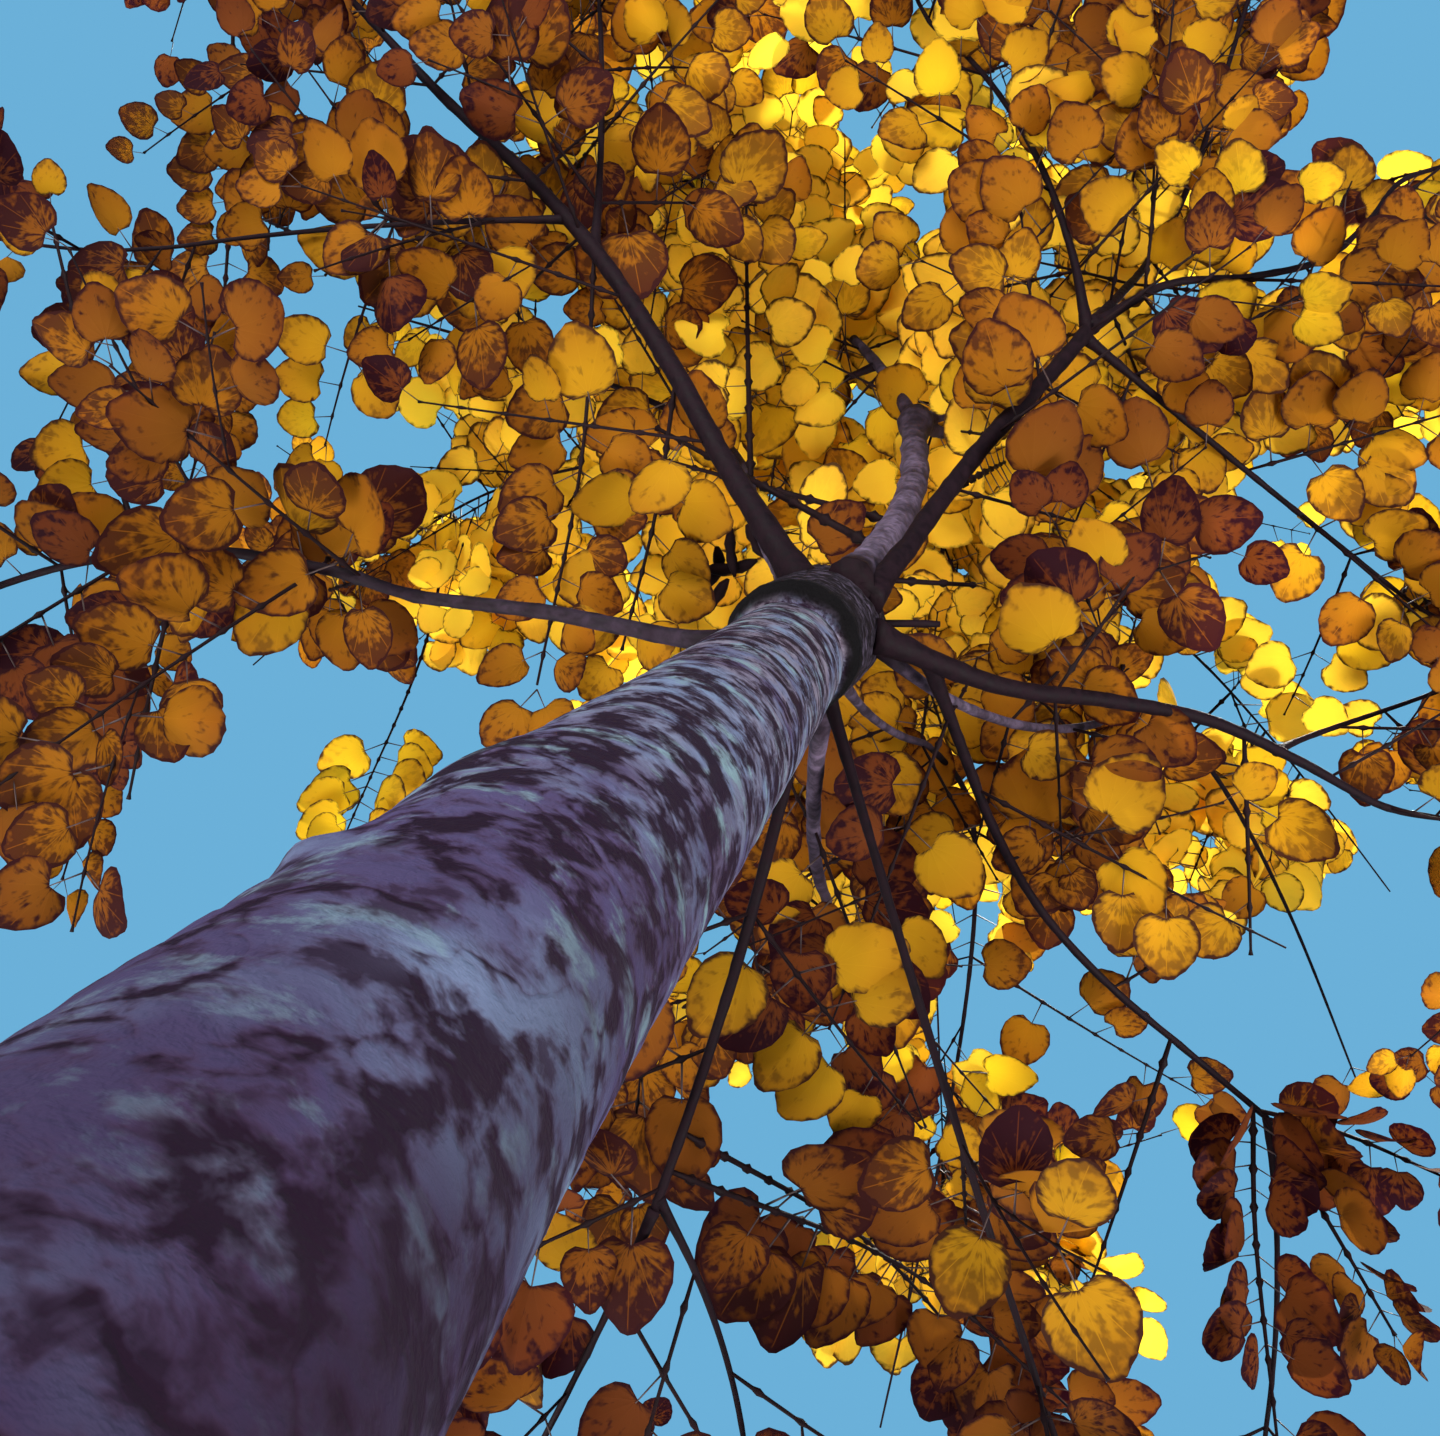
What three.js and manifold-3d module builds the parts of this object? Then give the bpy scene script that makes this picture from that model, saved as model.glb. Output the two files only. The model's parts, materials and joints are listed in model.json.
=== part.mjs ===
// A young katsura tree in autumn, in millimetres, +Z up, standing on a flat cut at ground level.
// The stem is bare up to a swollen head, where all the boughs and a pruned leader spring from.
// Each bough is one tapering limb, and each mass of foliage is one body of twigs and leaves.
import * as THREE from "three";
import { mergeVertices } from "three/addons/utils/BufferGeometryUtils.js";
import Module from "manifold-3d";

const wasm = await Module();
wasm.setup();

const clearance = 0.3;

// Corners that stand out by less than this are smoothed away where leaves and twigs join.
const joinTolerance = 0.1;

const trunk = {
  groundRadius: 70,
  collarRadius: 51,
  collarHeight: 2284,
  flareRadius: 30,
  flareHeight: 110,
  flareLobes: 5,
  lobeDepth: 0.3,
  sway: 4,
  swayHeight: 1500,
  swaySpan: 260,
  sides: 20,
  levels: 11,
};

// The head stands out over the stem towards -Y, as a flat ledge all round its front.
const head = {
  ledgeCentre: [-3, -12],
  topCentre: [8, -30],
  ledgeRadius: 60,
  ledgeDepth: 4,
  height: 190,
  domeFrom: 0.72,
  topRadius: 20,
  levels: 6,
};

// Half width of the crown against height, an egg that is widest low down.
const crown = {
  widest: 1400,
  widestHeight: 3050,
  top: 5330,
  lowest: 1960,
  bottomSquash: 1800,
  power: 0.72,
};

const limbSides = 6;
const limbRings = 6;
const crookRings = 3;
const stubRings = 2;
const baseSwelling = 0.35;
const swellingLength = 22;

// Azimuth turns from +X towards +Y and pitch is up from level, each given at the base and at the tip.
// A bow swings both out in the first half of the run and back in the second.
const limbs = [
  { name: "bough_left", base: [-30, -44, 2392], azimuth: [-174, -175], pitch: [37, 19], bow: [7, -2],
    length: 1030, radius: [13, 4.6] },
  { name: "bough_left_upper_fork", from: ["bough_left", 0.5], azimuth: [-140, -145], pitch: [42, 36],
    length: 455, radius: [4.4, 2.8] },
  { name: "bough_left_back_fork", from: ["bough_left", 0.56], azimuth: [138, 131], pitch: [-6, -3],
    length: 450, radius: [3.4, 2.4] },
  { name: "bough_front", base: [16, -76, 2390], azimuth: [-92, -96], pitch: [52, 43], bow: [-5, 4],
    length: 539, radius: [10.5, 8.6] },
  { name: "bough_front_middle_fork", from: ["bough_front", 1], azimuth: [-93, -114], pitch: [56, 29],
    bow: [7, 16], length: 777, radius: [6, 3] },
  { name: "bough_front_left_fork", from: ["bough_front", 0.98], azimuth: [-140, -174], pitch: [26, 44],
    length: 574, radius: [5, 2.9] },
  { name: "bough_front_right_fork", from: ["bough_front", 0.99], azimuth: [-92, -48], pitch: [28, 44],
    bow: [31, -6], length: 683, radius: [5, 2.9] },
  { name: "bough_front_side_fork", from: ["bough_front", 0.96], azimuth: [-6, -8], pitch: [24, 25],
    length: 602, radius: [4.6, 2.8] },
  { name: "bough_right", base: [44, -59, 2376], azimuth: [-9, -34], pitch: [18, 47], bow: [-15, 10],
    length: 845, radius: [11, 3.3] },
  { name: "bough_right_upper_fork", from: ["bough_right", 0.62], azimuth: [-39, -57], pitch: [66, 32],
    length: 419, radius: [3.6, 2.5] },
  { name: "bough_right_back", from: ["bough_right", 0.07], azimuth: [27, -1], pitch: [36, 5], bow: [7, 2],
    length: 744, radius: [7, 4.3] },
  { name: "bough_right_back_tip", from: ["bough_right_back", 1], azimuth: [43, 62], pitch: [-36, -34],
    length: 330, radius: [3.6, 2.5] },
  { name: "bough_back_right", base: [42, -4, 2322], azimuth: [28, 27], pitch: [-22, -12], length: 730,
    radius: [6.2, 3.1] },
  { name: "bough_back", base: [30, 8, 2330], azimuth: [57, 66], pitch: [-21, -28], length: 469,
    radius: [7.6, 5.2] },
  { name: "bough_back_near_fork", from: ["bough_back", 1], azimuth: [70, 76], pitch: [-7, 6],
    length: 400, radius: [4.4, 2.8] },
  { name: "bough_back_far_fork", from: ["bough_back", 0.98], azimuth: [24, 52], pitch: [13, 5],
    length: 420, radius: [4, 2.6] },
  { name: "bough_back_left", base: [-28, 8, 2335], azimuth: [129, 160], pitch: [7, 5], bow: [9, 2],
    length: 417, radius: [8.6, 6] },
  { name: "bough_upright_left", base: [-36, -36, 2400], azimuth: [-190, -160], pitch: [66, 71],
    length: 383, radius: [8.6, 6] },
  { name: "bough_upright_back", base: [41, -6, 2352], azimuth: [60, 43], pitch: [27, 62], length: 427,
    radius: [8.6, 6] },
  { name: "bough_upright_right", base: [51, -50, 2406], azimuth: [4, -47], pitch: [30, 68],
    length: 452, radius: [5.6, 4.4] },
  { name: "bough_short_back", base: [44, -10, 2392], azimuth: [38, -8], pitch: [63, 64], length: 330,
    radius: [5.4, 4] },
  { name: "leader", base: [-7, -80, 2384], azimuth: [-82, -125], pitch: [83, 70], length: 447,
    radius: [18, 16.5], crook: { azimuth: [-140, -134], pitch: [67, 70], length: 205 } },
  { name: "upper_leader", from: ["leader", 0.985], azimuth: [-38, 140], pitch: [72, 86], length: 1580,
    radius: [8.5, 3.4] },
  { name: "upper_left", from: ["leader", 0.99], azimuth: [-163, -215], pitch: [58, 76],
    length: 1180, radius: [8.5, 3.6] },
  { name: "upper_front", from: ["leader", 0.975], azimuth: [-66, -52], pitch: [60, 70],
    length: 900, radius: [7, 3.4] },
  { name: "upper_side_right", from: ["upper_leader", 0.26], azimuth: [0, -4], pitch: [42, 34],
    length: 560, radius: [4.4, 2.8] },
  { name: "upper_side_back", from: ["upper_leader", 0.4], azimuth: [104, 92], pitch: [38, 26],
    length: 640, radius: [4.4, 2.8] },
  { name: "upper_side_front", from: ["upper_leader", 0.6], azimuth: [-64, -50], pitch: [48, 42],
    length: 420, radius: [3.8, 2.6] },
  { name: "upper_side_left", from: ["upper_left", 0.35], azimuth: [178, 184], pitch: [36, 30],
    length: 460, radius: [3.8, 2.6] },
  { name: "upper_side_back_left", from: ["upper_left", 0.18], azimuth: [118, 128], pitch: [34, 26],
    length: 740, radius: [4.2, 2.6] },
  { name: "upper_side_back_right", from: ["upper_leader", 0.14], azimuth: [58, 44], pitch: [36, 30],
    length: 760, radius: [4.2, 2.6] },
];

// A short cut stub on the front of the head.
const stub = { base: [26, -52, 2412], azimuth: [-44, -40], pitch: [16, 14], length: 80, radius: 3.6 };

// A mass grows on from the tip of its bough to an aim, given round the trunk's axis.
const masses = [
  { name: "foliage_left", host: "bough_left", azimuth: -174, radius: 1290, height: 2960 },
  { name: "foliage_left_upper", host: "bough_left_upper_fork", azimuth: -147, radius: 1290, height: 3120 },
  { name: "foliage_left_back", host: "bough_left_back_fork", azimuth: 160, radius: 1270, height: 2560 },
  { name: "foliage_front_middle", host: "bough_front_middle_fork", azimuth: -100, radius: 1330,
    height: 3420 },
  { name: "foliage_front_left", host: "bough_front_left_fork", azimuth: -124, radius: 1220, height: 3240 },
  { name: "foliage_front_right", host: "bough_front_right_fork", azimuth: -70, radius: 1330, height: 3180 },
  { name: "foliage_front_side", host: "bough_front_side_fork", azimuth: -45, radius: 1290, height: 3160 },
  { name: "foliage_right", host: "bough_right", azimuth: -8, radius: 1310, height: 2800 },
  { name: "foliage_right_upper", host: "bough_right_upper_fork", azimuth: -24, radius: 1220, height: 3380 },
  { name: "foliage_right_back", host: "bough_right_back_tip", azimuth: 14, radius: 1200, height: 2330 },
  { name: "foliage_back_right", host: "bough_back_right", azimuth: 34, radius: 1160, height: 2140 },
  { name: "foliage_back_near", host: "bough_back_near_fork", azimuth: 84, radius: 1190, height: 2300 },
  { name: "foliage_back_far", host: "bough_back_far_fork", azimuth: 56, radius: 1230, height: 2460 },
  { name: "foliage_back_left", host: "bough_back_left", azimuth: 132, radius: 1200, height: 2480 },
  { name: "foliage_inner_left", host: "bough_upright_left", azimuth: 166, radius: 860, height: 3180 },
  { name: "foliage_inner_back", host: "bough_upright_back", azimuth: 92, radius: 1160, height: 3000 },
  { name: "foliage_inner_right", host: "bough_upright_right", azimuth: 2, radius: 1080, height: 3240 },
  { name: "foliage_short_back", host: "bough_short_back", azimuth: 44, radius: 1180, height: 2920 },
  { name: "foliage_top", host: "upper_leader", azimuth: 40, radius: 40, height: 5230 },
  { name: "foliage_upper_left", host: "upper_left", azimuth: 176, radius: 700, height: 4520 },
  { name: "foliage_upper_front", host: "upper_front", azimuth: -100, radius: 900, height: 4120 },
  { name: "foliage_upper_right", host: "upper_side_right", azimuth: -10, radius: 1160, height: 3880 },
  { name: "foliage_upper_back", host: "upper_side_back", azimuth: 84, radius: 1000, height: 4080 },
  { name: "foliage_upper_front_right", host: "upper_side_front", azimuth: -46, radius: 800, height: 4500 },
  { name: "foliage_upper_side_left", host: "upper_side_left", azimuth: -170, radius: 1170, height: 3800 },
  { name: "foliage_back_left_upper", host: "upper_side_back_left", azimuth: 128, radius: 1170, height: 3560 },
  { name: "foliage_back_right_upper", host: "upper_side_back_right", azimuth: 40, radius: 1200,
    height: 3620 },
];

// Side twigs leave a stem in opposite pairs, each pair a quarter turn on from the last.
const twig = {
  pairEvery: 320,
  pairs: [2, 3],
  firstAt: 0.08,
  lastAt: 0.84,
  spreadAngle: [80, 46],
  length: 430,
  shortenTo: 0.6,
  tipRadius: 1.8,
  rootRadius: 3.2,
  sides: 3,
  tries: [1, 0.78, 0.6, 0.42],
};

// A stem runs straight on from its bough's cut tip before it turns to its aim.
const stemRun = 10;
const stemSides = 3;
const stemRings = 4;
const stemStiffness = 0.4;

// Each blade stands for a spray of leaves. It lies nearly level and hangs a little at its tip.
const leaf = {
  length: [240, 300],
  widthShare: 0.92,
  widestAt: 0.46,
  thicknessShare: 0.022,
  sunk: 6,
  tilt: 30,
  hang: 0.25,
  turn: [52, 84],
  along: [0.36, 0.68],
  tries: [1, 0.8, 0.64],
};

const barkPale = 0x8f8ca0;
const barkDark = 0x2b1c26;

// Leaf colours, dealt out to the masses in turn: russet, gold, yellow and brown.
const autumn = [0xb5651d, 0xc98a1c, 0xd9a521, 0x8a4a1c];

const degrees = Math.PI / 180;
const up = new THREE.Vector3(0, 0, 1);

// Small repeatable random numbers from 0 to 1.
function seededRandom(seed) {
  let state = seed >>> 0;
  return () => {
    state = (state + 0x6d2b79f5) >>> 0;
    let mixed = Math.imul(state ^ (state >>> 15), state | 1);
    mixed ^= mixed + Math.imul(mixed ^ (mixed >>> 7), mixed | 61);
    return ((mixed ^ (mixed >>> 14)) >>> 0) / 4294967296;
  };
}

function lerp(range, share) {
  return range[0] + (range[1] - range[0]) * share;
}

function heading(azimuth, pitch) {
  const a = azimuth * degrees;
  const p = pitch * degrees;
  return new THREE.Vector3(Math.cos(a) * Math.cos(p), Math.sin(a) * Math.cos(p), Math.sin(p));
}

// A path whose heading turns evenly from its first azimuth and pitch to its last.
function turningPath(start, run, rings) {
  const points = [start.clone()];
  const bow = run.bow || [0, 0];
  for (let i = 0; i < rings; i += 1) {
    const share = (i + 0.5) / rings;
    const swing = Math.sin(2 * Math.PI * share);
    const azimuth = lerp(run.azimuth, share) + bow[0] * swing;
    const step = heading(azimuth, lerp(run.pitch, share) + bow[1] * swing);
    points.push(points[i].clone().addScaledVector(step, run.length / rings));
  }
  return points;
}

function pointOn(points, share) {
  const place = share * (points.length - 1);
  const i = Math.min(Math.floor(place), points.length - 2);
  return points[i].clone().lerp(points[i + 1], place - i);
}

function directionOn(points, share) {
  const i = Math.min(Math.floor(share * (points.length - 1)), points.length - 2);
  return points[i + 1].clone().sub(points[i]).normalize();
}

function anySide(direction) {
  const helper = Math.abs(direction.z) < 0.9 ? up : new THREE.Vector3(1, 0, 0);
  return new THREE.Vector3().crossVectors(helper, direction).normalize();
}

// Positions alone, with shared vertices merged, so that the surface is closed.
function closed(geometry) {
  geometry.deleteAttribute("normal");
  geometry.deleteAttribute("uv");
  return mergeVertices(geometry, 1e-4);
}

// A closed cylinder, one unit long, bent along the points with a radius for each ring.
function tubeAlong(points, radiusAt, sides) {
  const rings = points.length - 1;
  const geometry = closed(new THREE.CylinderGeometry(1, 1, 1, sides, rings));
  const frames = [];
  let side = anySide(directionOn(points, 0));
  for (let i = 0; i <= rings; i += 1) {
    const before = points[Math.max(i - 1, 0)];
    const after = points[Math.min(i + 1, rings)];
    const along = after.clone().sub(before).normalize();
    side = side.clone().addScaledVector(along, -side.dot(along)).normalize();
    frames.push({ along, side, other: new THREE.Vector3().crossVectors(side, along) });
  }
  const position = geometry.attributes.position;
  for (let i = 0; i < position.count; i += 1) {
    const ring = Math.round((position.getY(i) + 0.5) * rings);
    const radius = radiusAt(ring / rings);
    const at = points[ring].clone();
    at.addScaledVector(frames[ring].side, position.getX(i) * radius);
    at.addScaledVector(frames[ring].other, position.getZ(i) * radius);
    position.setXYZ(i, at.x, at.y, at.z);
  }
  return geometry;
}

function solidOf(geometry) {
  const made = new wasm.Mesh({
    numProp: 3,
    vertProperties: geometry.attributes.position.array,
    triVerts: new Uint32Array(geometry.index.array),
  });
  return new wasm.Manifold(made);
}

function geometryOf(solid) {
  const mesh = solid.getMesh();
  const positions = new Float32Array(mesh.numVert * 3);
  for (let i = 0; i < mesh.numVert; i += 1) {
    positions.set(mesh.vertProperties.subarray(i * mesh.numProp, i * mesh.numProp + 3), i * 3);
  }
  const geometry = new THREE.BufferGeometry();
  geometry.setAttribute("position", new THREE.BufferAttribute(positions, 3));
  geometry.setIndex(new THREE.BufferAttribute(new Uint32Array(mesh.triVerts), 1));
  return geometry;
}

// A cut can leave a loose scrap behind, so only the largest body is kept.
function largestBody(solid) {
  return solid.decompose().reduce((best, body) => (body.volume() > best.volume() ? body : best));
}

function bark(color) {
  return new THREE.MeshStandardMaterial({ color, roughness: 0.85, metalness: 0 });
}

function foliage(color) {
  return new THREE.MeshStandardMaterial({ color, roughness: 0.6, metalness: 0 });
}

// A named mesh that stands at its own base point.
function placed(name, solid, base, material) {
  const geometry = geometryOf(solid);
  geometry.translate(-base.x, -base.y, -base.z);
  const mesh = new THREE.Mesh(geometry, material);
  mesh.name = name;
  mesh.position.copy(base);
  return mesh;
}

// Centre and radius of each level of the stem, then of the head with its ledge and domed top.
function trunkLevels() {
  const levels = [];
  for (let i = 0; i < trunk.levels; i += 1) {
    const share = (i / (trunk.levels - 1)) ** 1.4;
    const z = share * trunk.collarHeight;
    const lean = -trunk.sway * Math.exp(-(((z - trunk.swayHeight) / trunk.swaySpan) ** 2));
    const flare = trunk.flareRadius * Math.exp(-z / trunk.flareHeight);
    levels.push({ x: lean, y: 0, z, radius: lerp([trunk.groundRadius, trunk.collarRadius], share), flare });
  }
  for (let i = 0; i < head.levels; i += 1) {
    const share = i / (head.levels - 1);
    const dome = Math.max(0, (share - head.domeFrom) / (1 - head.domeFrom));
    levels.push({
      x: lerp([head.ledgeCentre[0], head.topCentre[0]], share),
      y: lerp([head.ledgeCentre[1], head.topCentre[1]], share),
      z: trunk.collarHeight + head.ledgeDepth + share * head.height,
      radius: head.topRadius + (head.ledgeRadius - head.topRadius) * Math.sqrt(1 - dome * dome),
      flare: 0,
    });
  }
  return levels;
}

function trunkSolid(grow) {
  const levels = trunkLevels();
  const rings = levels.length - 1;
  const geometry = closed(new THREE.CylinderGeometry(1, 1, 1, trunk.sides, rings));
  const position = geometry.attributes.position;
  for (let i = 0; i < position.count; i += 1) {
    const level = levels[Math.round((position.getY(i) + 0.5) * rings)];
    const x = position.getX(i);
    const y = -position.getZ(i);
    const lobes = 1 + trunk.lobeDepth * Math.cos(trunk.flareLobes * Math.atan2(y, x));
    const radius = level.radius + level.flare * lobes + grow;
    position.setXYZ(i, level.x + x * radius, level.y + y * radius, level.z);
  }
  return solidOf(geometry);
}

// The trunk with its stub, a little thicker all over where it is to cut its neighbours clear.
function wholeTrunk(grow) {
  const points = turningPath(new THREE.Vector3(...stub.base), stub, stubRings);
  return trunkSolid(grow).add(solidOf(tubeAlong(points, () => stub.radius + grow, limbSides)));
}

// Where a limb starts, how it runs, and how thick it is along its run.
function limbShape(limb, shapes) {
  const start = limb.from
    ? pointOn(shapes.get(limb.from[0]).points, limb.from[1])
    : new THREE.Vector3(...limb.base);
  const points = turningPath(start, limb, limbRings);
  if (limb.crook) {
    points.push(...turningPath(points[limbRings], limb.crook, crookRings).slice(1));
  }
  const radiusAt = (share) => {
    const swelling = baseSwelling * Math.exp((-share * limb.length) / swellingLength);
    return lerp(limb.radius, share) * (1 + swelling);
  };
  return { limb, points, radiusAt };
}

// The limb a little thicker and longer at both ends, to cut its neighbours clear of it.
function swollenLimb(shape) {
  const points = shape.points.map((point) => point.clone());
  const last = points.length - 1;
  points[0].addScaledVector(directionOn(shape.points, 0), -clearance);
  points[last].addScaledVector(directionOn(shape.points, 1), clearance);
  return solidOf(tubeAlong(points, (share) => shape.radiusAt(share) + clearance, limbSides));
}

function growLimbs() {
  const shapes = new Map();
  const cutters = [wholeTrunk(clearance)];
  for (const limb of limbs) {
    const shape = limbShape(limb, shapes);
    let solid = solidOf(tubeAlong(shape.points, shape.radiusAt, limbSides));
    for (const cutter of cutters) {
      solid = solid.subtract(cutter);
    }
    shape.solid = largestBody(solid);
    shapes.set(limb.name, shape);
    cutters.push(swollenLimb(shape));
  }
  return shapes;
}

function crownRadius(z) {
  const above = z > crown.widestHeight;
  const half = above ? crown.top - crown.widestHeight : crown.bottomSquash;
  const share = (z - crown.widestHeight) / half;
  return crown.widest * Math.max(0, 1 - share * share) ** crown.power;
}

function insideCrown(x, y, z) {
  return z > crown.lowest && Math.hypot(x, y) < crownRadius(z);
}

// Each mass owns the space that is nearer to its middle than to any other's, less a thin gap.
function ownsPlace(mass, x, y, z) {
  const own = mass.middle;
  const distance = (p) => (x - p.x) ** 2 + (y - p.y) ** 2 + (z - p.z) ** 2;
  const mine = distance(own);
  return masses.every((other) => {
    if (other === mass) {
      return true;
    }
    const apart = own.distanceTo(other.middle);
    return distance(other.middle) - mine > 2 * apart * clearance * 4;
  });
}

function keepsToSpace(mass, geometry) {
  const position = geometry.attributes.position;
  for (let i = 0; i < position.count; i += 1) {
    const x = position.getX(i);
    const y = position.getY(i);
    const z = position.getZ(i);
    if (!insideCrown(x, y, z) || !ownsPlace(mass, x, y, z)) {
      return false;
    }
  }
  return true;
}

// A thin blade of eight faces: root, tip, two sides, and a shallow swell on each face.
function leafBlade(root, along, normal, length) {
  const geometry = closed(new THREE.OctahedronGeometry(1, 0));
  const across = new THREE.Vector3().crossVectors(normal, along).normalize();
  const face = new THREE.Vector3().crossVectors(along, across).normalize();
  const position = geometry.attributes.position;
  for (let i = 0; i < position.count; i += 1) {
    const x = position.getX(i);
    const reach = Math.abs(x) > 0.5 ? Math.max(x, 0) : leaf.widestAt;
    const at = root.clone().addScaledVector(along, reach * length);
    at.addScaledVector(across, position.getY(i) * length * leaf.widthShare * 0.5);
    at.addScaledVector(face, position.getZ(i) * length * leaf.thicknessShare * 0.5);
    position.setXYZ(i, at.x, at.y, at.z);
  }
  return geometry;
}

function turned(direction, axis, angle) {
  return direction.clone().applyAxisAngle(axis, angle * degrees);
}

// One leaf that starts inside its twig, and lies nearly level.
function growLeaf(root, along, random, size) {
  const flat = along.clone();
  flat.z = flat.z * 0.5 - leaf.hang;
  flat.normalize();
  const normal = turned(up, flat, (random() - 0.5) * 2 * leaf.tilt);
  const start = root.clone().addScaledVector(flat, -leaf.sunk * 0.5);
  return leafBlade(start, flat, normal, lerp(leaf.length, random()) * size);
}

// A stem leaves its bough in line with it and curves to the mass's aim.
function stemOf(mass, shapes) {
  const host = shapes.get(mass.host);
  const along = directionOn(host.points, 1);
  const start = host.points[host.points.length - 1].clone().addScaledVector(along, clearance);
  const bend = start.clone().addScaledVector(along, stemRun);
  const aim = heading(mass.azimuth, 0).multiplyScalar(mass.radius);
  aim.z = mass.height;
  const handle = bend.clone().addScaledVector(along, bend.distanceTo(aim) * stemStiffness);
  const curve = new THREE.QuadraticBezierCurve3(bend, handle, aim);
  const points = [start, ...curve.getPoints(stemRings)];
  return { points, radius: host.limb.radius[1], length: curve.getLength() };
}

// The first of several tries that keeps to the mass's space and stays clear of every limb.
function firstClear(mass, limbBodies, tries, make) {
  for (const size of tries) {
    const geometry = make(size);
    if (keepsToSpace(mass, geometry)) {
      const solid = solidOf(geometry);
      if (limbBodies.minGap(solid, 1) >= 1) {
        return { solid, size };
      }
    }
  }
  return null;
}

function growMass(mass, order, limbBodies) {
  const random = seededRandom(101 + order * 17);
  const { points, radius } = mass.stem;
  const pieces = [solidOf(tubeAlong(points, (share) => lerp([radius, twig.tipRadius], share), stemSides))];
  const tryLeaf = (root, along) => {
    const kept = firstClear(mass, limbBodies, leaf.tries, (size) => growLeaf(root, along, random, size));
    if (kept) {
      pieces.push(kept.solid);
    }
  };
  const tryTwig = (root, out, length) => {
    const place = (share, size) => root.clone().addScaledVector(out, length * size * share);
    const thickness = (share) => lerp([twig.rootRadius, twig.tipRadius], share);
    const kept = firstClear(mass, limbBodies, twig.tries, (size) =>
      tubeAlong([place(0, size), place(1, size)], thickness, twig.sides));
    if (!kept) {
      return;
    }
    pieces.push(kept.solid);
    tryLeaf(place(1, kept.size).addScaledVector(out, -leaf.sunk), turned(out, up, 18 * (random() - 0.5)));
    let hand = random() < 0.5 ? 1 : -1;
    for (const share of leaf.along) {
      tryLeaf(place(share, kept.size), turned(out, up, hand * lerp(leaf.turn, random())));
      hand = -hand;
    }
  };
  const pairs = THREE.MathUtils.clamp(Math.round(mass.stem.length / twig.pairEvery), ...twig.pairs);
  let roll = random() * 180;
  for (let pair = 0; pair < pairs; pair += 1) {
    const share = lerp([twig.firstAt, twig.lastAt], pair / (pairs - 1));
    const root = pointOn(points, share);
    const along = directionOn(points, share);
    for (const half of [0, 180]) {
      const axis = turned(anySide(along), along, roll + half + (random() - 0.5) * 30);
      const out = turned(along, axis, lerp(twig.spreadAngle, share));
      tryTwig(root, out, twig.length * lerp([1, twig.shortenTo], share) * lerp([0.8, 1.15], random()));
    }
    roll += 90;
  }
  for (const turn of [0, leaf.turn[0], -leaf.turn[0]]) {
    tryLeaf(pointOn(points, 0.99), turned(directionOn(points, 1), up, turn));
  }
  return largestBody(wasm.Manifold.union(pieces)).simplify(joinTolerance);
}

const tree = new THREE.Group();
tree.name = "katsura_tree";
tree.add(placed("trunk", wholeTrunk(0), new THREE.Vector3(), bark(barkPale)));

const shapes = growLimbs();
for (const shape of shapes.values()) {
  tree.add(placed(shape.limb.name, shape.solid, shape.points[0], bark(barkDark)));
}

const limbBodies = wasm.Manifold.union([wholeTrunk(0), ...[...shapes.values()].map((shape) => shape.solid)]);
for (const mass of masses) {
  mass.stem = stemOf(mass, shapes);
  mass.middle = pointOn(mass.stem.points, 0.5);
}
masses.forEach((mass, order) => {
  const solid = growMass(mass, order, limbBodies);
  tree.add(placed(mass.name, solid, mass.stem.points[0], foliage(autumn[order % autumn.length])));
});

export default tree;
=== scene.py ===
# A young katsura tree in autumn, seen from under its crown.
import bpy
import json
import math
import random
import numpy as np
from mathutils import Matrix, Vector

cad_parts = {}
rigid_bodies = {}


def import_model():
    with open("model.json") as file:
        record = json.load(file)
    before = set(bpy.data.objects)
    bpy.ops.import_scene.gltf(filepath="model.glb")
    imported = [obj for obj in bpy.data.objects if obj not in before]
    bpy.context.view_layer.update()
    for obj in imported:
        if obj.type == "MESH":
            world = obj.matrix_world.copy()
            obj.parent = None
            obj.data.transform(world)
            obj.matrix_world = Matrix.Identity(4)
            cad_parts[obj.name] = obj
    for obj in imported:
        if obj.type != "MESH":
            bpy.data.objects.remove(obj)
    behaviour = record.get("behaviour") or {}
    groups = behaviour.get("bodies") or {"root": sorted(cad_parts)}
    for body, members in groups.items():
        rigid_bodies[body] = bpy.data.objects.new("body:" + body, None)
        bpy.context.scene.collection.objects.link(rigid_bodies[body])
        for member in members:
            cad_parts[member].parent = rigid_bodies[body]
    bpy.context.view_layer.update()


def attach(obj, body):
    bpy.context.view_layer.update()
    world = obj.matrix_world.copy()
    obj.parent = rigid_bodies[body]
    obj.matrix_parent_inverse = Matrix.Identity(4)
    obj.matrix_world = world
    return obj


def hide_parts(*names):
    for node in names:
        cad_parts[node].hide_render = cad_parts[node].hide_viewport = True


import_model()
scene = bpy.context.scene
mm = 0.001
norm = np.linalg.norm

# The camera stands beside the trunk and looks up. Two pixels of the picture fix its tilt:
# the one straight overhead, and one on the line from there down to the foot of the trunk.
cameraPlace = {
    "at": (0, -217, 1050),
    "sensor": 36.0,
    "wide": 1440,
    "tall": 1436,
    "focal": 1442,
    "overhead": (960, 475),
    "downTrunk": (230, 1248),
}


def rayThrough(px, py):
    c = cameraPlace
    return Vector(((px - c["wide"] / 2) / c["focal"], (c["tall"] / 2 - py) / c["focal"], -1))


def cameraTurn():
    zAxis = rayThrough(*cameraPlace["overhead"]).normalized()
    trunkWay = rayThrough(*cameraPlace["downTrunk"])
    yAxis = (trunkWay - zAxis * trunkWay.dot(zAxis)).normalized()
    return Matrix((yAxis.cross(zAxis), yAxis, zAxis))


def show(name, data):    # an object in the scene for a mesh, a light or the camera
    made = bpy.data.objects.new(name, data)
    scene.collection.objects.link(made)
    return made


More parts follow.
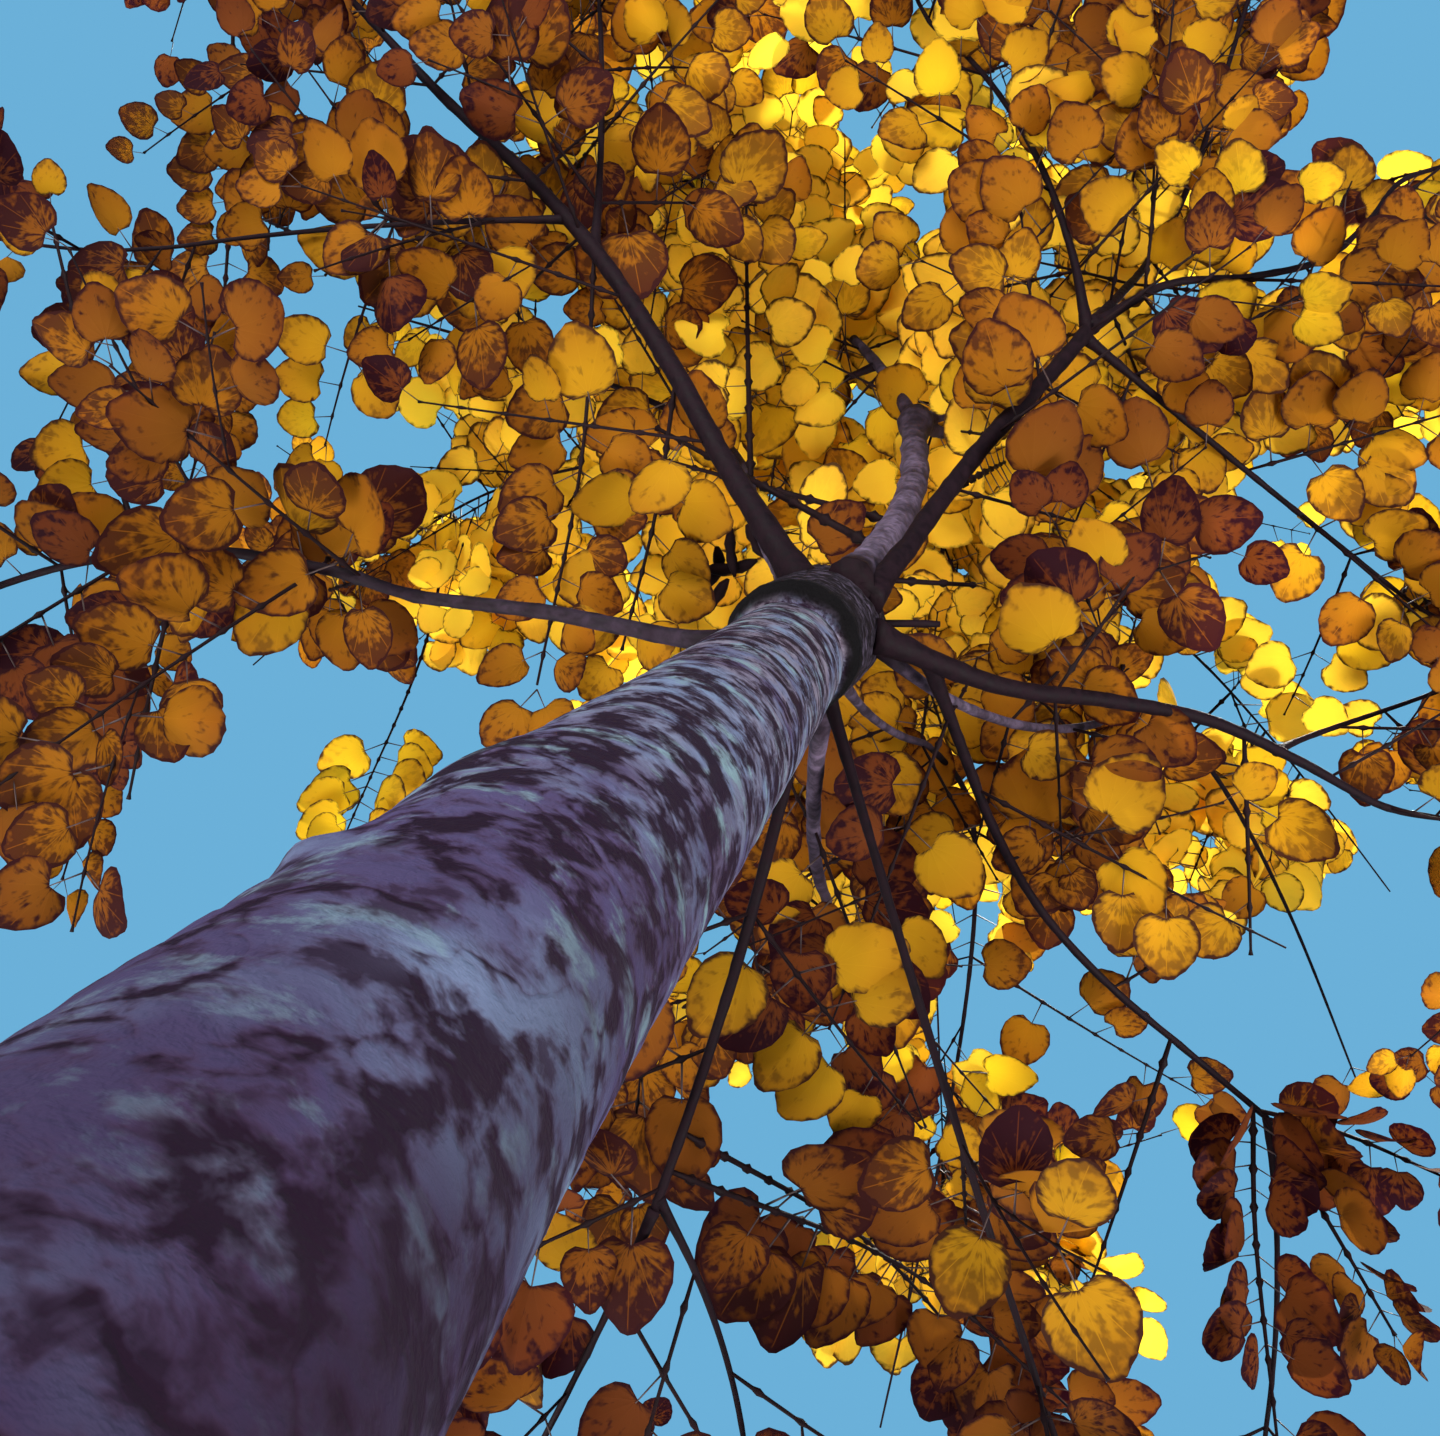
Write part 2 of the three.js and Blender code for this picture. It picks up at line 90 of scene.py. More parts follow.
def addCamera():
    data = bpy.data.cameras.new("camera")
    data.sensor_width = cameraPlace["sensor"]
    data.lens = cameraPlace["sensor"] * cameraPlace["focal"] / cameraPlace["wide"]
    data.clip_start = 0.05
    data.clip_end = 200
    scene.camera = show("camera", data)
    scene.camera.matrix_world = Matrix.Translation(Vector(cameraPlace["at"]) * mm) @ cameraTurn().to_4x4()


addCamera()
eye = np.array(cameraPlace["at"], float)
eyeTurn = np.array(cameraTurn())


def seenAt(point):    # the pixel where a point shows, or nowhere
    x, y, z = (np.asarray(point) - eye) @ eyeTurn
    if z > -1:
        return None
    c = cameraPlace
    return c["wide"] / 2 - c["focal"] * x / z, c["tall"] / 2 + c["focal"] * y / z


def pointAt(px, py, height):    # the point at that height which shows at a pixel
    way = eyeTurn @ np.array(rayThrough(px, py))
    return eye + way * (height - eye[2]) / way[2]


print("camera ready")

# The tree's own rule, in millimetres: limbs that turn evenly, and masses that grow on from them.
trunk = {
    "groundRadius": 70, "collarRadius": 51, "collarHeight": 2284,
    "flareRadius": 30, "flareHeight": 110, "flareLobes": 5, "lobeDepth": 0.3,
    "sway": 4, "swayHeight": 1500, "swaySpan": 260,
}
head = {
    "ledgeCentre": (-3, -12), "topCentre": (8, -30), "ledgeRadius": 60, "ledgeDepth": 4, "ledgeSag": 2,
    "ledgeShares": (0.2, 0.4, 0.6, 0.8, 0.94, 1.0), "height": 190, "domeFrom": 0.72, "topRadius": 20,
    "rings": 44,
}
crown = {
    "widest": 1400, "widestHeight": 3050, "top": 5330, "lowest": 1960, "bottomSquash": 1800,
    "power": 0.72,
}
limbRings = 6
crookRings = 3

# Each limb: its start, its azimuth, pitch and bow from foot to tip, its length, and both its radii.
# It starts at a place, or at a share of another limb.
limbs = {
    "bough_left": ((-30, -44, 2392), (-174, -175), (37, 19), (7, -2), 1030, (13, 4.6)),
    "bough_left_upper_fork": (("bough_left", 0.5), (-140, -145), (42, 36), (0, 0), 455, (4.4, 2.8)),
    "bough_left_back_fork": (("bough_left", 0.56), (138, 131), (-6, -3), (0, 0), 450, (3.4, 2.4)),
    "bough_front": ((16, -76, 2390), (-92, -96), (52, 43), (-5, 4), 539, (10.5, 8.6)),
    "bough_front_middle_fork": (("bough_front", 1), (-93, -114), (56, 29), (7, 16), 777, (6, 3)),
    "bough_front_left_fork": (("bough_front", 0.98), (-140, -174), (26, 44), (0, 0), 574, (5, 2.9)),
    "bough_front_right_fork": (("bough_front", 0.99), (-92, -48), (28, 44), (31, -6), 683, (5, 2.9)),
    "bough_front_side_fork": (("bough_front", 0.96), (-6, -8), (24, 25), (0, 0), 602, (4.6, 2.8)),
    "bough_right": ((44, -59, 2376), (-9, -34), (18, 47), (-15, 10), 845, (9.8, 3.2)),
    "bough_right_upper_fork": (("bough_right", 0.62), (-39, -57), (66, 32), (0, 0), 419, (3.6, 2.5)),
    "bough_right_back": (("bough_right", 0.07), (27, -1), (36, 5), (7, 2), 744, (6, 3.5)),
    "bough_right_back_tip": (("bough_right_back", 1), (43, 62), (-36, -34), (0, 0), 330, (3.6, 2.5)),
    "bough_back_right": ((42, -4, 2322), (28, 27), (-22, -12), (0, 0), 730, (4.8, 2.4)),
    "bough_back": ((30, 8, 2330), (57, 66), (-21, -28), (0, 0), 469, (5.8, 4)),
    "bough_back_near_fork": (("bough_back", 1), (70, 76), (-7, 6), (0, 0), 400, (3.4, 2.2)),
    "bough_back_far_fork": (("bough_back", 0.98), (24, 52), (13, 5), (0, 0), 420, (3.2, 2.1)),
    "bough_back_left": ((-28, 8, 2335), (129, 160), (7, 5), (9, 2), 417, (8.6, 6)),
    "bough_upright_left": ((-36, -36, 2400), (-190, -160), (66, 71), (0, 0), 383, (8.6, 6)),
    "bough_upright_back": ((41, -6, 2352), (60, 43), (27, 62), (0, 0), 427, (8.6, 6)),
    "bough_upright_right": ((51, -50, 2406), (4, -47), (30, 68), (0, 0), 452, (5.6, 4.4)),
    "bough_short_back": ((44, -10, 2392), (38, -8), (63, 64), (0, 0), 330, (5.4, 4)),
    "leader": ((-7, -80, 2384), (-82, -125), (83, 70), (0, 0), 447, (18, 16.5)),
    "upper_leader": (("leader", 0.985), (-38, 140), (72, 86), (0, 0), 1580, (8.5, 3.4)),
    "upper_left": (("leader", 0.99), (-163, -215), (58, 76), (0, 0), 1180, (8.5, 3.6)),
    "upper_front": (("leader", 0.975), (-66, -52), (60, 70), (0, 0), 900, (7, 3.4)),
    "upper_side_right": (("upper_leader", 0.26), (0, -4), (42, 34), (0, 0), 560, (4.4, 2.8)),
    "upper_side_back": (("upper_leader", 0.4), (104, 92), (38, 26), (0, 0), 640, (4.4, 2.8)),
    "upper_side_front": (("upper_leader", 0.6), (-64, -50), (48, 42), (0, 0), 420, (3.8, 2.6)),
    "upper_side_left": (("upper_left", 0.35), (178, 184), (36, 30), (0, 0), 460, (3.8, 2.6)),
    "upper_side_back_left": (("upper_left", 0.18), (118, 128), (34, 26), (0, 0), 740, (4.2, 2.6)),
    "upper_side_back_right": (("upper_leader", 0.14), (58, 44), (36, 30), (0, 0), 760, (4.2, 2.6)),
}
leaderCrook = ((-140, -134), (67, 70), (0, 0), 205)    # how the leader goes on above its bend
paleBark = {
    "bough_back_left": 0.15, "bough_upright_left": 0.6, "bough_upright_back": 0.6, "bough_upright_right": 0.5,
    "bough_short_back": 0.5, "leader": 0.85, "upper_leader": 0.3, "upper_left": 0.3, "upper_front": 0.3,
}
cutStubs = [    # limb, start where it isn't the limb's end, azimuth, pitch, length, radius, paleness
    ("bough_right", (26, -52, 2412), (-44, -40), (16, 14), 80, 3.6, 0),
    ("leader", None, (-66, -60), (66, 60), 62, 7.5, 0.5),
    ("leader", None, (-104, -112), (78, 82), 52, 6, 0.2),
]

# Each mass: its limb, then the azimuth, radius and height of its aim round the trunk's axis.
masses = {
    "foliage_left": ("bough_left", -174, 1290, 2960),
    "foliage_left_upper": ("bough_left_upper_fork", -147, 1290, 3120),
    "foliage_left_back": ("bough_left_back_fork", 160, 1270, 2560),
    "foliage_front_middle": ("bough_front_middle_fork", -100, 1330, 3420),
    "foliage_front_left": ("bough_front_left_fork", -124, 1220, 3240),
    "foliage_front_right": ("bough_front_right_fork", -70, 1330, 3180),
    "foliage_front_side": ("bough_front_side_fork", -45, 1290, 3160),
    "foliage_right": ("bough_right", -8, 1310, 2800),
    "foliage_right_upper": ("bough_right_upper_fork", -24, 1220, 3380),
    "foliage_right_back": ("bough_right_back_tip", 14, 1200, 2330),
    "foliage_back_right": ("bough_back_right", 34, 1160, 2140),
    "foliage_back_near": ("bough_back_near_fork", 84, 1190, 2300),
    "foliage_back_far": ("bough_back_far_fork", 56, 1230, 2460),
    "foliage_back_left": ("bough_back_left", 132, 1200, 2480),
    "foliage_inner_left": ("bough_upright_left", 166, 860, 3180),
    "foliage_inner_back": ("bough_upright_back", 92, 1160, 3000),
    "foliage_inner_right": ("bough_upright_right", 2, 1080, 3240),
    "foliage_short_back": ("bough_short_back", 44, 1180, 2920),
    "foliage_top": ("upper_leader", 40, 40, 5230),
    "foliage_upper_left": ("upper_left", 176, 700, 4520),
    "foliage_upper_front": ("upper_front", -100, 900, 4120),
    "foliage_upper_right": ("upper_side_right", -10, 1160, 3880),
    "foliage_upper_back": ("upper_side_back", 84, 1000, 4080),
    "foliage_upper_front_right": ("upper_side_front", -46, 800, 4500),
    "foliage_upper_side_left": ("upper_side_left", -170, 1170, 3800),
    "foliage_back_left_upper": ("upper_side_back_left", 128, 1170, 3560),
    "foliage_back_right_upper": ("upper_side_back_right", 40, 1200, 3620),
}
massStem = {"rings": 4, "step": 40, "stiffness": 0.4, "straightRun": 10, "tipRadius": 1.4}
upwards = np.array([0.0, 0.0, 1.0])


def between(pair, share):
    return pair[0] + (pair[1] - pair[0]) * share


def unit(vector):
    return vector / norm(vector)


def heading(azimuth, pitch):
    a = math.radians(azimuth)
    p = math.radians(pitch)
    return np.array([math.cos(a) * math.cos(p), math.sin(a) * math.cos(p), math.sin(p)])


def turned(vector, axis, degrees):
    angle = math.radians(degrees)
    axis = unit(axis)
    along = axis * vector.dot(axis)
    return along + (vector - along) * math.cos(angle) + np.cross(axis, vector) * math.sin(angle)


def turningPath(start, azimuth, pitch, bow, length, rings):
    points = [np.array(start, float)]
    for i in range(rings):
        share = (i + 0.5) / rings
        swing = math.sin(2 * math.pi * share)
        way = heading(between(azimuth, share) + bow[0] * swing, between(pitch, share) + bow[1] * swing)
        points.append(points[-1] + way * length / rings)
    return points


def pointOn(points, share):
    place = share * (len(points) - 1)
    i = min(int(place), len(points) - 2)
    return points[i] + (points[i + 1] - points[i]) * (place - i)


def directionOn(points, share):
    i = min(int(share * (len(points) - 1)), len(points) - 2)
    return unit(points[i + 1] - points[i])


def lengthOf(points):
    return sum(norm(b - a) for a, b in zip(points, points[1:]))


def rounded(points, step):    # the same path as a smooth curve, in even short steps
    rows = [2 * points[0] - points[1], *points, 2 * points[-1] - points[-2]]
    fine = []
    for i in range(1, len(rows) - 2):
        a, b, c, d = rows[i - 1:i + 3]
        parts = max(2, math.ceil(norm(c - b) / step))
        for j in range(parts):
            t = j / parts
            fine.append(0.5 * (2 * b + (c - a) * t + (2 * a - 5 * b + 4 * c - d) * t * t
                               + (3 * b - a - 3 * c + d) * t ** 3))
    fine.append(points[-1])
    return np.array(fine)


def distances(path):    # how far along its path each point lies
    return np.concatenate([[0], np.cumsum(norm(np.diff(path, axis=0), axis=1))])


def evenly(points, step):    # the same path, rounded off and cut into equal steps
    fine = rounded(points, step / 4)
    along = distances(fine)
    stops = np.linspace(0, along[-1], max(4, round(along[-1] / step)) + 1)
    return [np.array([np.interp(s, along, fine[:, axis]) for axis in range(3)]) for s in stops]


def onTrunk(name):
    return len(limbs[name][0]) == 3


def growLimbs():
    paths = {}
    for name, (start, *run, radii) in limbs.items():
        if not onTrunk(name):
            start = pointOn(paths[start[0]], start[1])
        paths[name] = turningPath(start, *run, limbRings)
        if name == "leader":
            paths[name] += turningPath(paths[name][-1], *leaderCrook, crookRings)[1:]
    return paths


def stemOf(host, azimuth, radius, height):
    along = directionOn(limbPaths[host], 1)
    start = limbPaths[host][-1]
    bend = start + along * massStem["straightRun"]
    aim = heading(azimuth, 0) * radius + upwards * height
    handle = bend + along * norm(aim - bend) * massStem["stiffness"]
    points = [start]
    for i in range(massStem["rings"] + 1):
        t = i / massStem["rings"]
        points.append((1 - t) ** 2 * bend + 2 * t * (1 - t) * handle + t * t * aim)
    return points


def crownRadius(z):
    above = z > crown["widestHeight"]
    half = crown["top"] - crown["widestHeight"] if above else crown["bottomSquash"]
    share = (z - crown["widestHeight"]) / half
    return crown["widest"] * max(0, 1 - share * share) ** crown["power"]


def insideCrown(point):
    return point[2] > crown["lowest"] and math.hypot(point[0], point[1]) < crownRadius(point[2])


limbPaths = growLimbs()
curves = {name: stemOf(*aim) for name, aim in masses.items()}
middles = {name: pointOn(points, 0.5) for name, points in curves.items()}
stems = {name: evenly(points, massStem["step"]) for name, points in curves.items()}


def ownsPlace(name, point, overlap):
    mine = norm(point - middles[name]) - overlap
    return all(norm(point - other) > mine for other in middles.values())


# Openings in the crown where the sky shows, as pixel, then half width and half height in pixels.
skyOpenings = {
    "top left corner": [(40, 50, 110, 80), (190, 30, 50, 30)],
    "left edge": [(70, 210, 26, 32), (140, 200, 32, 36), (200, 145, 26, 34), (30, 290, 38, 30),
                  (20, 400, 40, 30), (110, 365, 36, 32), (20, 610, 42, 34), (155, 505, 32, 30)],
    "upper left": [(230, 270, 60, 30), (330, 300, 50, 26), (260, 430, 38, 48), (390, 450, 68, 44),
                   (315, 90, 42, 26), (450, 125, 34, 32), (520, 150, 32, 22), (520, 75, 26, 20),
                   (455, 15, 24, 24)],
    "left of the trunk": [(260, 700, 60, 50), (225, 815, 120, 90), (60, 985, 112, 80), (430, 720, 120, 56),
                          (225, 650, 34, 36), (600, 525, 40, 20), (480, 490, 26, 16), (555, 440, 42, 28),
                          (560, 330, 30, 34), (660, 295, 26, 26)],
    "top middle": [(860, 125, 34, 34), (910, 30, 22, 34), (640, 90, 26, 26), (1000, 100, 26, 24),
                   (1100, 170, 34, 28), (935, 210, 34, 30), (1045, 275, 28, 42), (1180, 300, 28, 26)],
    "round the leader": [(865, 415, 30, 40), (690, 480, 24, 24), (965, 570, 26, 24), (900, 640, 26, 20)],
    "top right": [(1400, 70, 92, 104), (1300, 150, 34, 42), (1290, 255, 36, 32)],
    "right edge": [(1430, 480, 26, 50), (1265, 490, 40, 44), (1225, 565, 40, 36), (1125, 465, 42, 30),
                   (1135, 610, 30, 30), (1285, 625, 42, 38), (1360, 565, 48, 32), (1410, 685, 38, 46),
                   (1230, 710, 46, 36), (1170, 695, 44, 34), (1175, 800, 34, 46), (1315, 760, 46, 34),
                   (1410, 840, 52, 62), (990, 760, 30, 26), (1090, 760, 30, 26), (880, 820, 26, 28)],
    "lower right": [(1330, 965, 112, 104), (1210, 1000, 64, 56), (1390, 1140, 80, 40), (1170, 1230, 60, 114),
                    (1165, 1395, 60, 60), (1395, 1395, 66, 62), (1410, 1260, 40, 34), (1255, 1185, 22, 34),
                    (1165, 1045, 36, 36), (1085, 955, 50, 38), (1065, 1085, 50, 36)],
    "below": [(965, 1025, 50, 48), (975, 935, 36, 44), (1010, 880, 28, 28), (820, 1040, 34, 34),
              (715, 950, 40, 50), (760, 1110, 30, 30), (930, 1150, 26, 30), (800, 1180, 50, 54),
              (860, 1405, 128, 66), (765, 1250, 28, 64), (715, 1390, 52, 62), (575, 1390, 44, 42)],
}

# Where no low leaf hangs in front of the limbs: the same, then the height it holds up to.
clearOfLeaves = [
    (905, 480, 56, 96, 3000), (800, 610, 100, 60, 2700), (870, 350, 45, 50, 3300),
    (790, 430, 70, 90, 2900), (700, 300, 60, 60, 2900), (960, 610, 60, 50, 2900),
    (520, 520, 120, 60, 2900), (1262, 1290, 78, 170, 3300), (728, 570, 62, 62, 2900),
    (880, 1295, 84, 46, 3200), (1095, 1280, 54, 50, 3200), (1215, 840, 74, 62, 3300),
]


def within(pixel, x, y, w, h):
    return ((pixel[0] - x) / w) ** 2 + ((pixel[1] - y) / h) ** 2 < 1


def leftOpen(point):
    pixel = seenAt(point)
    if pixel is None:
        return False
    return any(within(pixel, *gap) for gaps in skyOpenings.values() for gap in gaps) or any(
        point[2] < top and within(pixel, *gap) for *gap, top in clearOfLeaves)


twig = {
    "every": (106, 88),      # from one pair of twigs to the next, on low stems and on high ones
    "highFrom": 3150,
    "firstAt": 0.05,
    "lastAt": 0.92,
    "spread": (74, 42),      # angle off the stem, at its foot and at its tip
    "length": (440, 290),
    "rootRadius": 1.6,
    "tipRadius": 0.75,
    "tries": (1, 0.8, 0.62, 0.45),
    "uneven": (0.7, 1.2),
    "overlap": 90,           # how far a twig may reach into the next mass
    "openPoints": 2,         # how many of its points may cross the sky
    "sweep": 14,             # how far a twig bends up over its run, in degrees
    "step": 45,
    "forkFrom": 190,         # twigs longer than this carry shorter ones
    "forkAt": (0.3, 0.55),
    "forkShare": 0.5,
    "forkSpread": (38, 58),
    "forkLength": (0.42, 0.62),
}
boughTwig = {"every": 105, "from": 210, "forkFrom": 80, "shortest": 270, "length": (330, 260),
             "spread": (66, 50)}
leaf = {
    "every": 41,
    "bareFoot": 30,
    "size": (64, 84),
    "reach": ((500, 1200), (1, 0.76)),    # leaves are smaller far out
    "high": ((2950, 3500), (1, 1.32)),    # and larger high up
    "tipShare": 0.74,        # leaves at a twig's end against those at its foot
    "turn": (54, 78),        # off the twig, to each side
    "lift": 4,               # how far the blades sit above their twig
    "flatten": 0.35,         # how far a blade keeps its twig's slope
    "middle": 0.9,           # against its size: from its twig to the blade's middle,
    "end": 1.35,             # to the blade's end,
    "half": 0.45,            # and the blade's half width
    "uneven": (0.88, 1.1),
    "parting": (0.96, 0.5),  # share that gives way where a bough, or a stem, shows behind it
    "hang": (-6, 26),
    "roll": 24,
    "missing": 0.08,
    "cell": 20,              # two blades never share a space of this size
}
tints = {    # colour, and how far its blades are blotched
    "brown": ((0.40, 0.20, 0.07), 1.0), "russet": ((0.48, 0.28, 0.06), 0.9),
    "amber": ((0.60, 0.385, 0.055), 0.75), "gold": ((0.72, 0.53, 0.07), 0.5),
    "olive": ((0.88, 0.72, 0.11), 0.25), "yellow": ((1.0, 0.84, 0.21), 0.05),
}
drooping = {
    "masses": ("foliage_back_right", "foliage_back_near", "foliage_right_back"), "sweep": -26,
    "hang": (18, 66),
}

# Long shoots that stand apart from the rule, each from its share of a limb or stem. They hold a turn
# and a length, or run towards a pixel at a height.
shootRun = {"rings": 8, "rise": 6, "arch": 0.12, "step": 30}
sunlit = {"every": 32, "size": 1.4, "hang": (-10, 50), "tint": "yellow", "radius": (2.4, 1.0), "bare": 0.4}
hanging = {"every": 25, "size": 1.12, "hang": (26, 64), "tint": "brown", "radius": (2.4, 1.1), "bare": 0.05,
           "turn": (78, 94)}
small = {"radius": (2.0, 1.0), "tint": "amber", "bare": 0.3}
low = {"radius": (2.2, 1.0), "tint": "russet", "bare": 0.2, "size": 1.2}
shoots = [
    dict(on=("leader", 0.25), azimuth=163, pitch=28, length=350, radius=(3.6, 1.8), bare=0.5),
    dict(on=("leader", 0.42), azimuth=151, pitch=24, length=330, radius=(3.2, 1.6), bare=0.5),
    dict(on=("leader", 0.03), azimuth=-35, pitch=44, length=166, radius=(2.6, 1.6), bare=1),
    dict(on=("bough_front", 0.38), azimuth=-68, pitch=76, length=380, radius=(2.8, 1.2), bare=0.5),
    dict(on=("bough_upright_left", 0.97), azimuth=-141, pitch=39, length=560, radius=(3.0, 1.2), bare=0.2),
    dict(on=("foliage_back_left", 0.3), azimuth=-159, pitch=19, length=440, radius=(2.6, 1.2), bare=0.1),
    dict(on=("foliage_back_left", 0.24), azimuth=61, pitch=-9, length=260, radius=(2.2, 1.1), bare=0.1),
    dict(on=("bough_right", 0.56), azimuth=45, pitch=-17, length=230, radius=(2.2, 1.1), bare=0.3),
    dict(on=("bough_right_back", 0.8), azimuth=66, pitch=-22, length=280, radius=(2.4, 1.1), bare=0.1),
    dict(hanging, on=("bough_right_back", 0.98), towards=(1446, 1178), height=2560),
    dict(hanging, on=("bough_right_back", 0.97), towards=(1278, 1446), height=2330),
    dict(hanging, on=("bough_right_back", 0.99), towards=(1395, 1335), height=2440, tint="russet"),
    dict(small, on=("bough_left", 0.5), towards=(536, 690), height=2420),
    dict(small, on=("bough_left", 0.3), towards=(622, 650), height=2480, bare=0.4, tint="gold"),
    dict(sunlit, on=("foliage_back_right_upper", 0.86), towards=(830, 1310), height=3330),
    dict(sunlit, on=("foliage_back_right_upper", 0.7), towards=(905, 1325), height=3260),
    dict(sunlit, on=("foliage_back_right_upper", 0.9), towards=(940, 1290), height=3380),
    dict(sunlit, on=("foliage_back_right_upper", 0.95), towards=(1125, 1310), height=3300),
    dict(sunlit, on=("foliage_back_right_upper", 0.8), towards=(1060, 1285), height=3340),
    dict(sunlit, on=("foliage_back_left_upper", 0.3), towards=(345, 835), height=3020, bare=0.72,
         tint="olive", every=34, size=1.3, hang=leaf["hang"]),
    dict(low, on=("bough_back", 0.86), towards=(1022, 1420), height=2520, bare=0.3, tint="brown"),
    dict(low, on=("bough_back", 0.93), towards=(1100, 1436), height=2480),
    dict(low, on=("foliage_left", 0.8), towards=(62, 880), height=2620, tint="amber", size=1),
    dict(sunlit, on=("foliage_upper_right", 0.45), towards=(1190, 880), height=3560),
    dict(sunlit, on=("foliage_upper_right", 0.6), towards=(1270, 860), height=3600),
    dict(sunlit, on=("foliage_upper_right", 0.3), towards=(1150, 790), height=3600),
]


class Growth:    # what the rule grows: tubes of wood, and a seat for each leaf
    def __init__(self):
        self.twigs = []
        self.seats = []
        self.cells = set()


def findLimbs():    # pixel, distance and parting share of places along the boughs and the stems
    rows = []
    boughs = [path for name, path in limbPaths.items() if name.startswith(("bough", "leader"))]
    for group, share in zip((boughs, stems.values()), leaf["parting"]):
        for path in group:
            for place in evenly(path, 20):
                if seenAt(place):
                    rows.append((*seenAt(place), norm(place - eye), share))
    return np.array(rows)


limbsSeen = findLimbs()


def hidesLimb(point, size):    # how surely a leaf here should give way to a limb behind it
    pixel = seenAt(point)
    if pixel is None:
        return 0
    far = norm(point - eye)
    apart = np.hypot(limbsSeen[:, 0] - pixel[0], limbsSeen[:, 1] - pixel[1])
    hidden = (apart < leaf["half"] * size * cameraPlace["focal"] / far) & (limbsSeen[:, 2] > far)
    return limbsSeen[hidden, 3].max(initial=0)


def addLeaf(growth, dice, at, out, size, spray, hang):
    size *= np.interp(math.hypot(at[0], at[1]), *leaf["reach"]) * np.interp(at[2], *leaf["high"])
    flat = np.array([out[0], out[1], leaf["flatten"] * out[2]])
    flat = unit(flat) if norm(flat) > 0.05 else heading(dice.uniform(0, 360), 0)
    side = unit(np.cross(upwards, flat))
    flat = turned(flat, side, dice.uniform(*hang))
    side = turned(side, flat, dice.uniform(-1, 1) * leaf["roll"])
    middle = at + flat * size * leaf["middle"]
    if not insideCrown(at + flat * size * leaf["end"]) or dice.random() < leaf["missing"]:
        return
    if spray not in tints and leftOpen(middle):
        return
    cell = tuple(np.floor(middle / leaf["cell"]).astype(int))
    if cell in growth.cells or dice.random() < hidesLimb(middle, size):
        return
    growth.cells.add(cell)
    at = at + upwards * leaf["lift"]
    growth.seats.append(dict(at=at, along=flat, side=side, size=size, height=middle[2], spray=spray,
                             tone=dice.random()))


def leavesAlong(growth, dice, points, foot, spray, hang=leaf["hang"], every=leaf["every"], bulk=1,
                turn=leaf["turn"]):
    whole = lengthOf(points)
    count = max(1, int((whole - foot) / every))
    for i in range(count + 1):
        share = min(1, (foot + i * (whole - foot) / count) / whole)
        at = pointOn(points, share)
        along = directionOn(points, share)
        size = bulk * dice.uniform(*leaf["size"]) * between((1, leaf["tipShare"]), share)
        across = np.cross(upwards, along)
        across = unit(across) if norm(across) > 0.1 else heading(dice.uniform(0, 360), 0)
        normal = np.cross(along, across)
        for hand in (1, -1):
            swing = between(turn[::-1], share) if share < 1 else turn[0] * 0.5
            out = turned(along, normal, hand * (swing + dice.uniform(-12, 12)))
            addLeaf(growth, dice, at, out, size * dice.uniform(*leaf["uneven"]), spray, hang)


def growTwig(growth, dice, name, root, out, length, tint, forks=True):
    droops = name in drooping["masses"]
    for share in twig["tries"]:
        run = length * share
        rings = max(3, round(run / twig["step"]))
        side = np.cross(out, upwards)
        side = unit(side) if norm(side) > 0.05 else heading(0, 0)
        points = [np.array(root)]
        for i in range(rings):
            bend = (drooping if droops else twig)["sweep"] * (i + 0.5) / rings
            points.append(points[-1] + turned(out, side, bend) * run / rings)
        tip = points[-1]
        if insideCrown(tip) and (name is None or ownsPlace(name, tip, twig["overlap"])):
            break
    else:
        return
    if sum(leftOpen(p) for p in points[1:]) > twig["openPoints"]:
        return
    thick = twig["rootRadius"] * max(0.7, share) * (1 if forks else 0.6)
    growth.twigs.append((np.array(points), thick, min(thick, twig["tipRadius"])))
    leavesAlong(growth, dice, points, leaf["bareFoot"], tint, (drooping if droops else leaf)["hang"])
    if not forks or run < twig["forkFrom"]:
        return
    hand = dice.choice((1, -1))
    for place in twig["forkAt"]:
        hand = -hand
        if dice.random() > twig["forkShare"]:
            continue
        along = directionOn(points, place)
        side = turned(along, upwards, hand * dice.uniform(*twig["forkSpread"]))
        growTwig(growth, dice, name, pointOn(points, place), side, run * dice.uniform(*twig["forkLength"]),
                 tint, forks=False)


def twigsAlong(growth, dice, name, points, every, shares, spread, lengths):
    whole = lengthOf(points)
    pairs = max(2, round(whole * (shares[1] - shares[0]) / every) + 1)
    roll = dice.uniform(0, 180)
    for pair in range(pairs):
        share = between(shares, pair / (pairs - 1))
        root = pointOn(points, share)
        along = directionOn(points, share)
        across = np.cross(upwards, along)
        across = unit(across) if norm(across) > 0.1 else heading(0, 0)
        for half in (0, 180):
            axis = turned(across, along, roll + half + dice.uniform(-16, 16))
            out = turned(along, axis, between(spread, share))
            length = between(lengths, share) * dice.uniform(*twig["uneven"])
            growTwig(growth, dice, name, root, out, length, dice.random())
        roll += 90


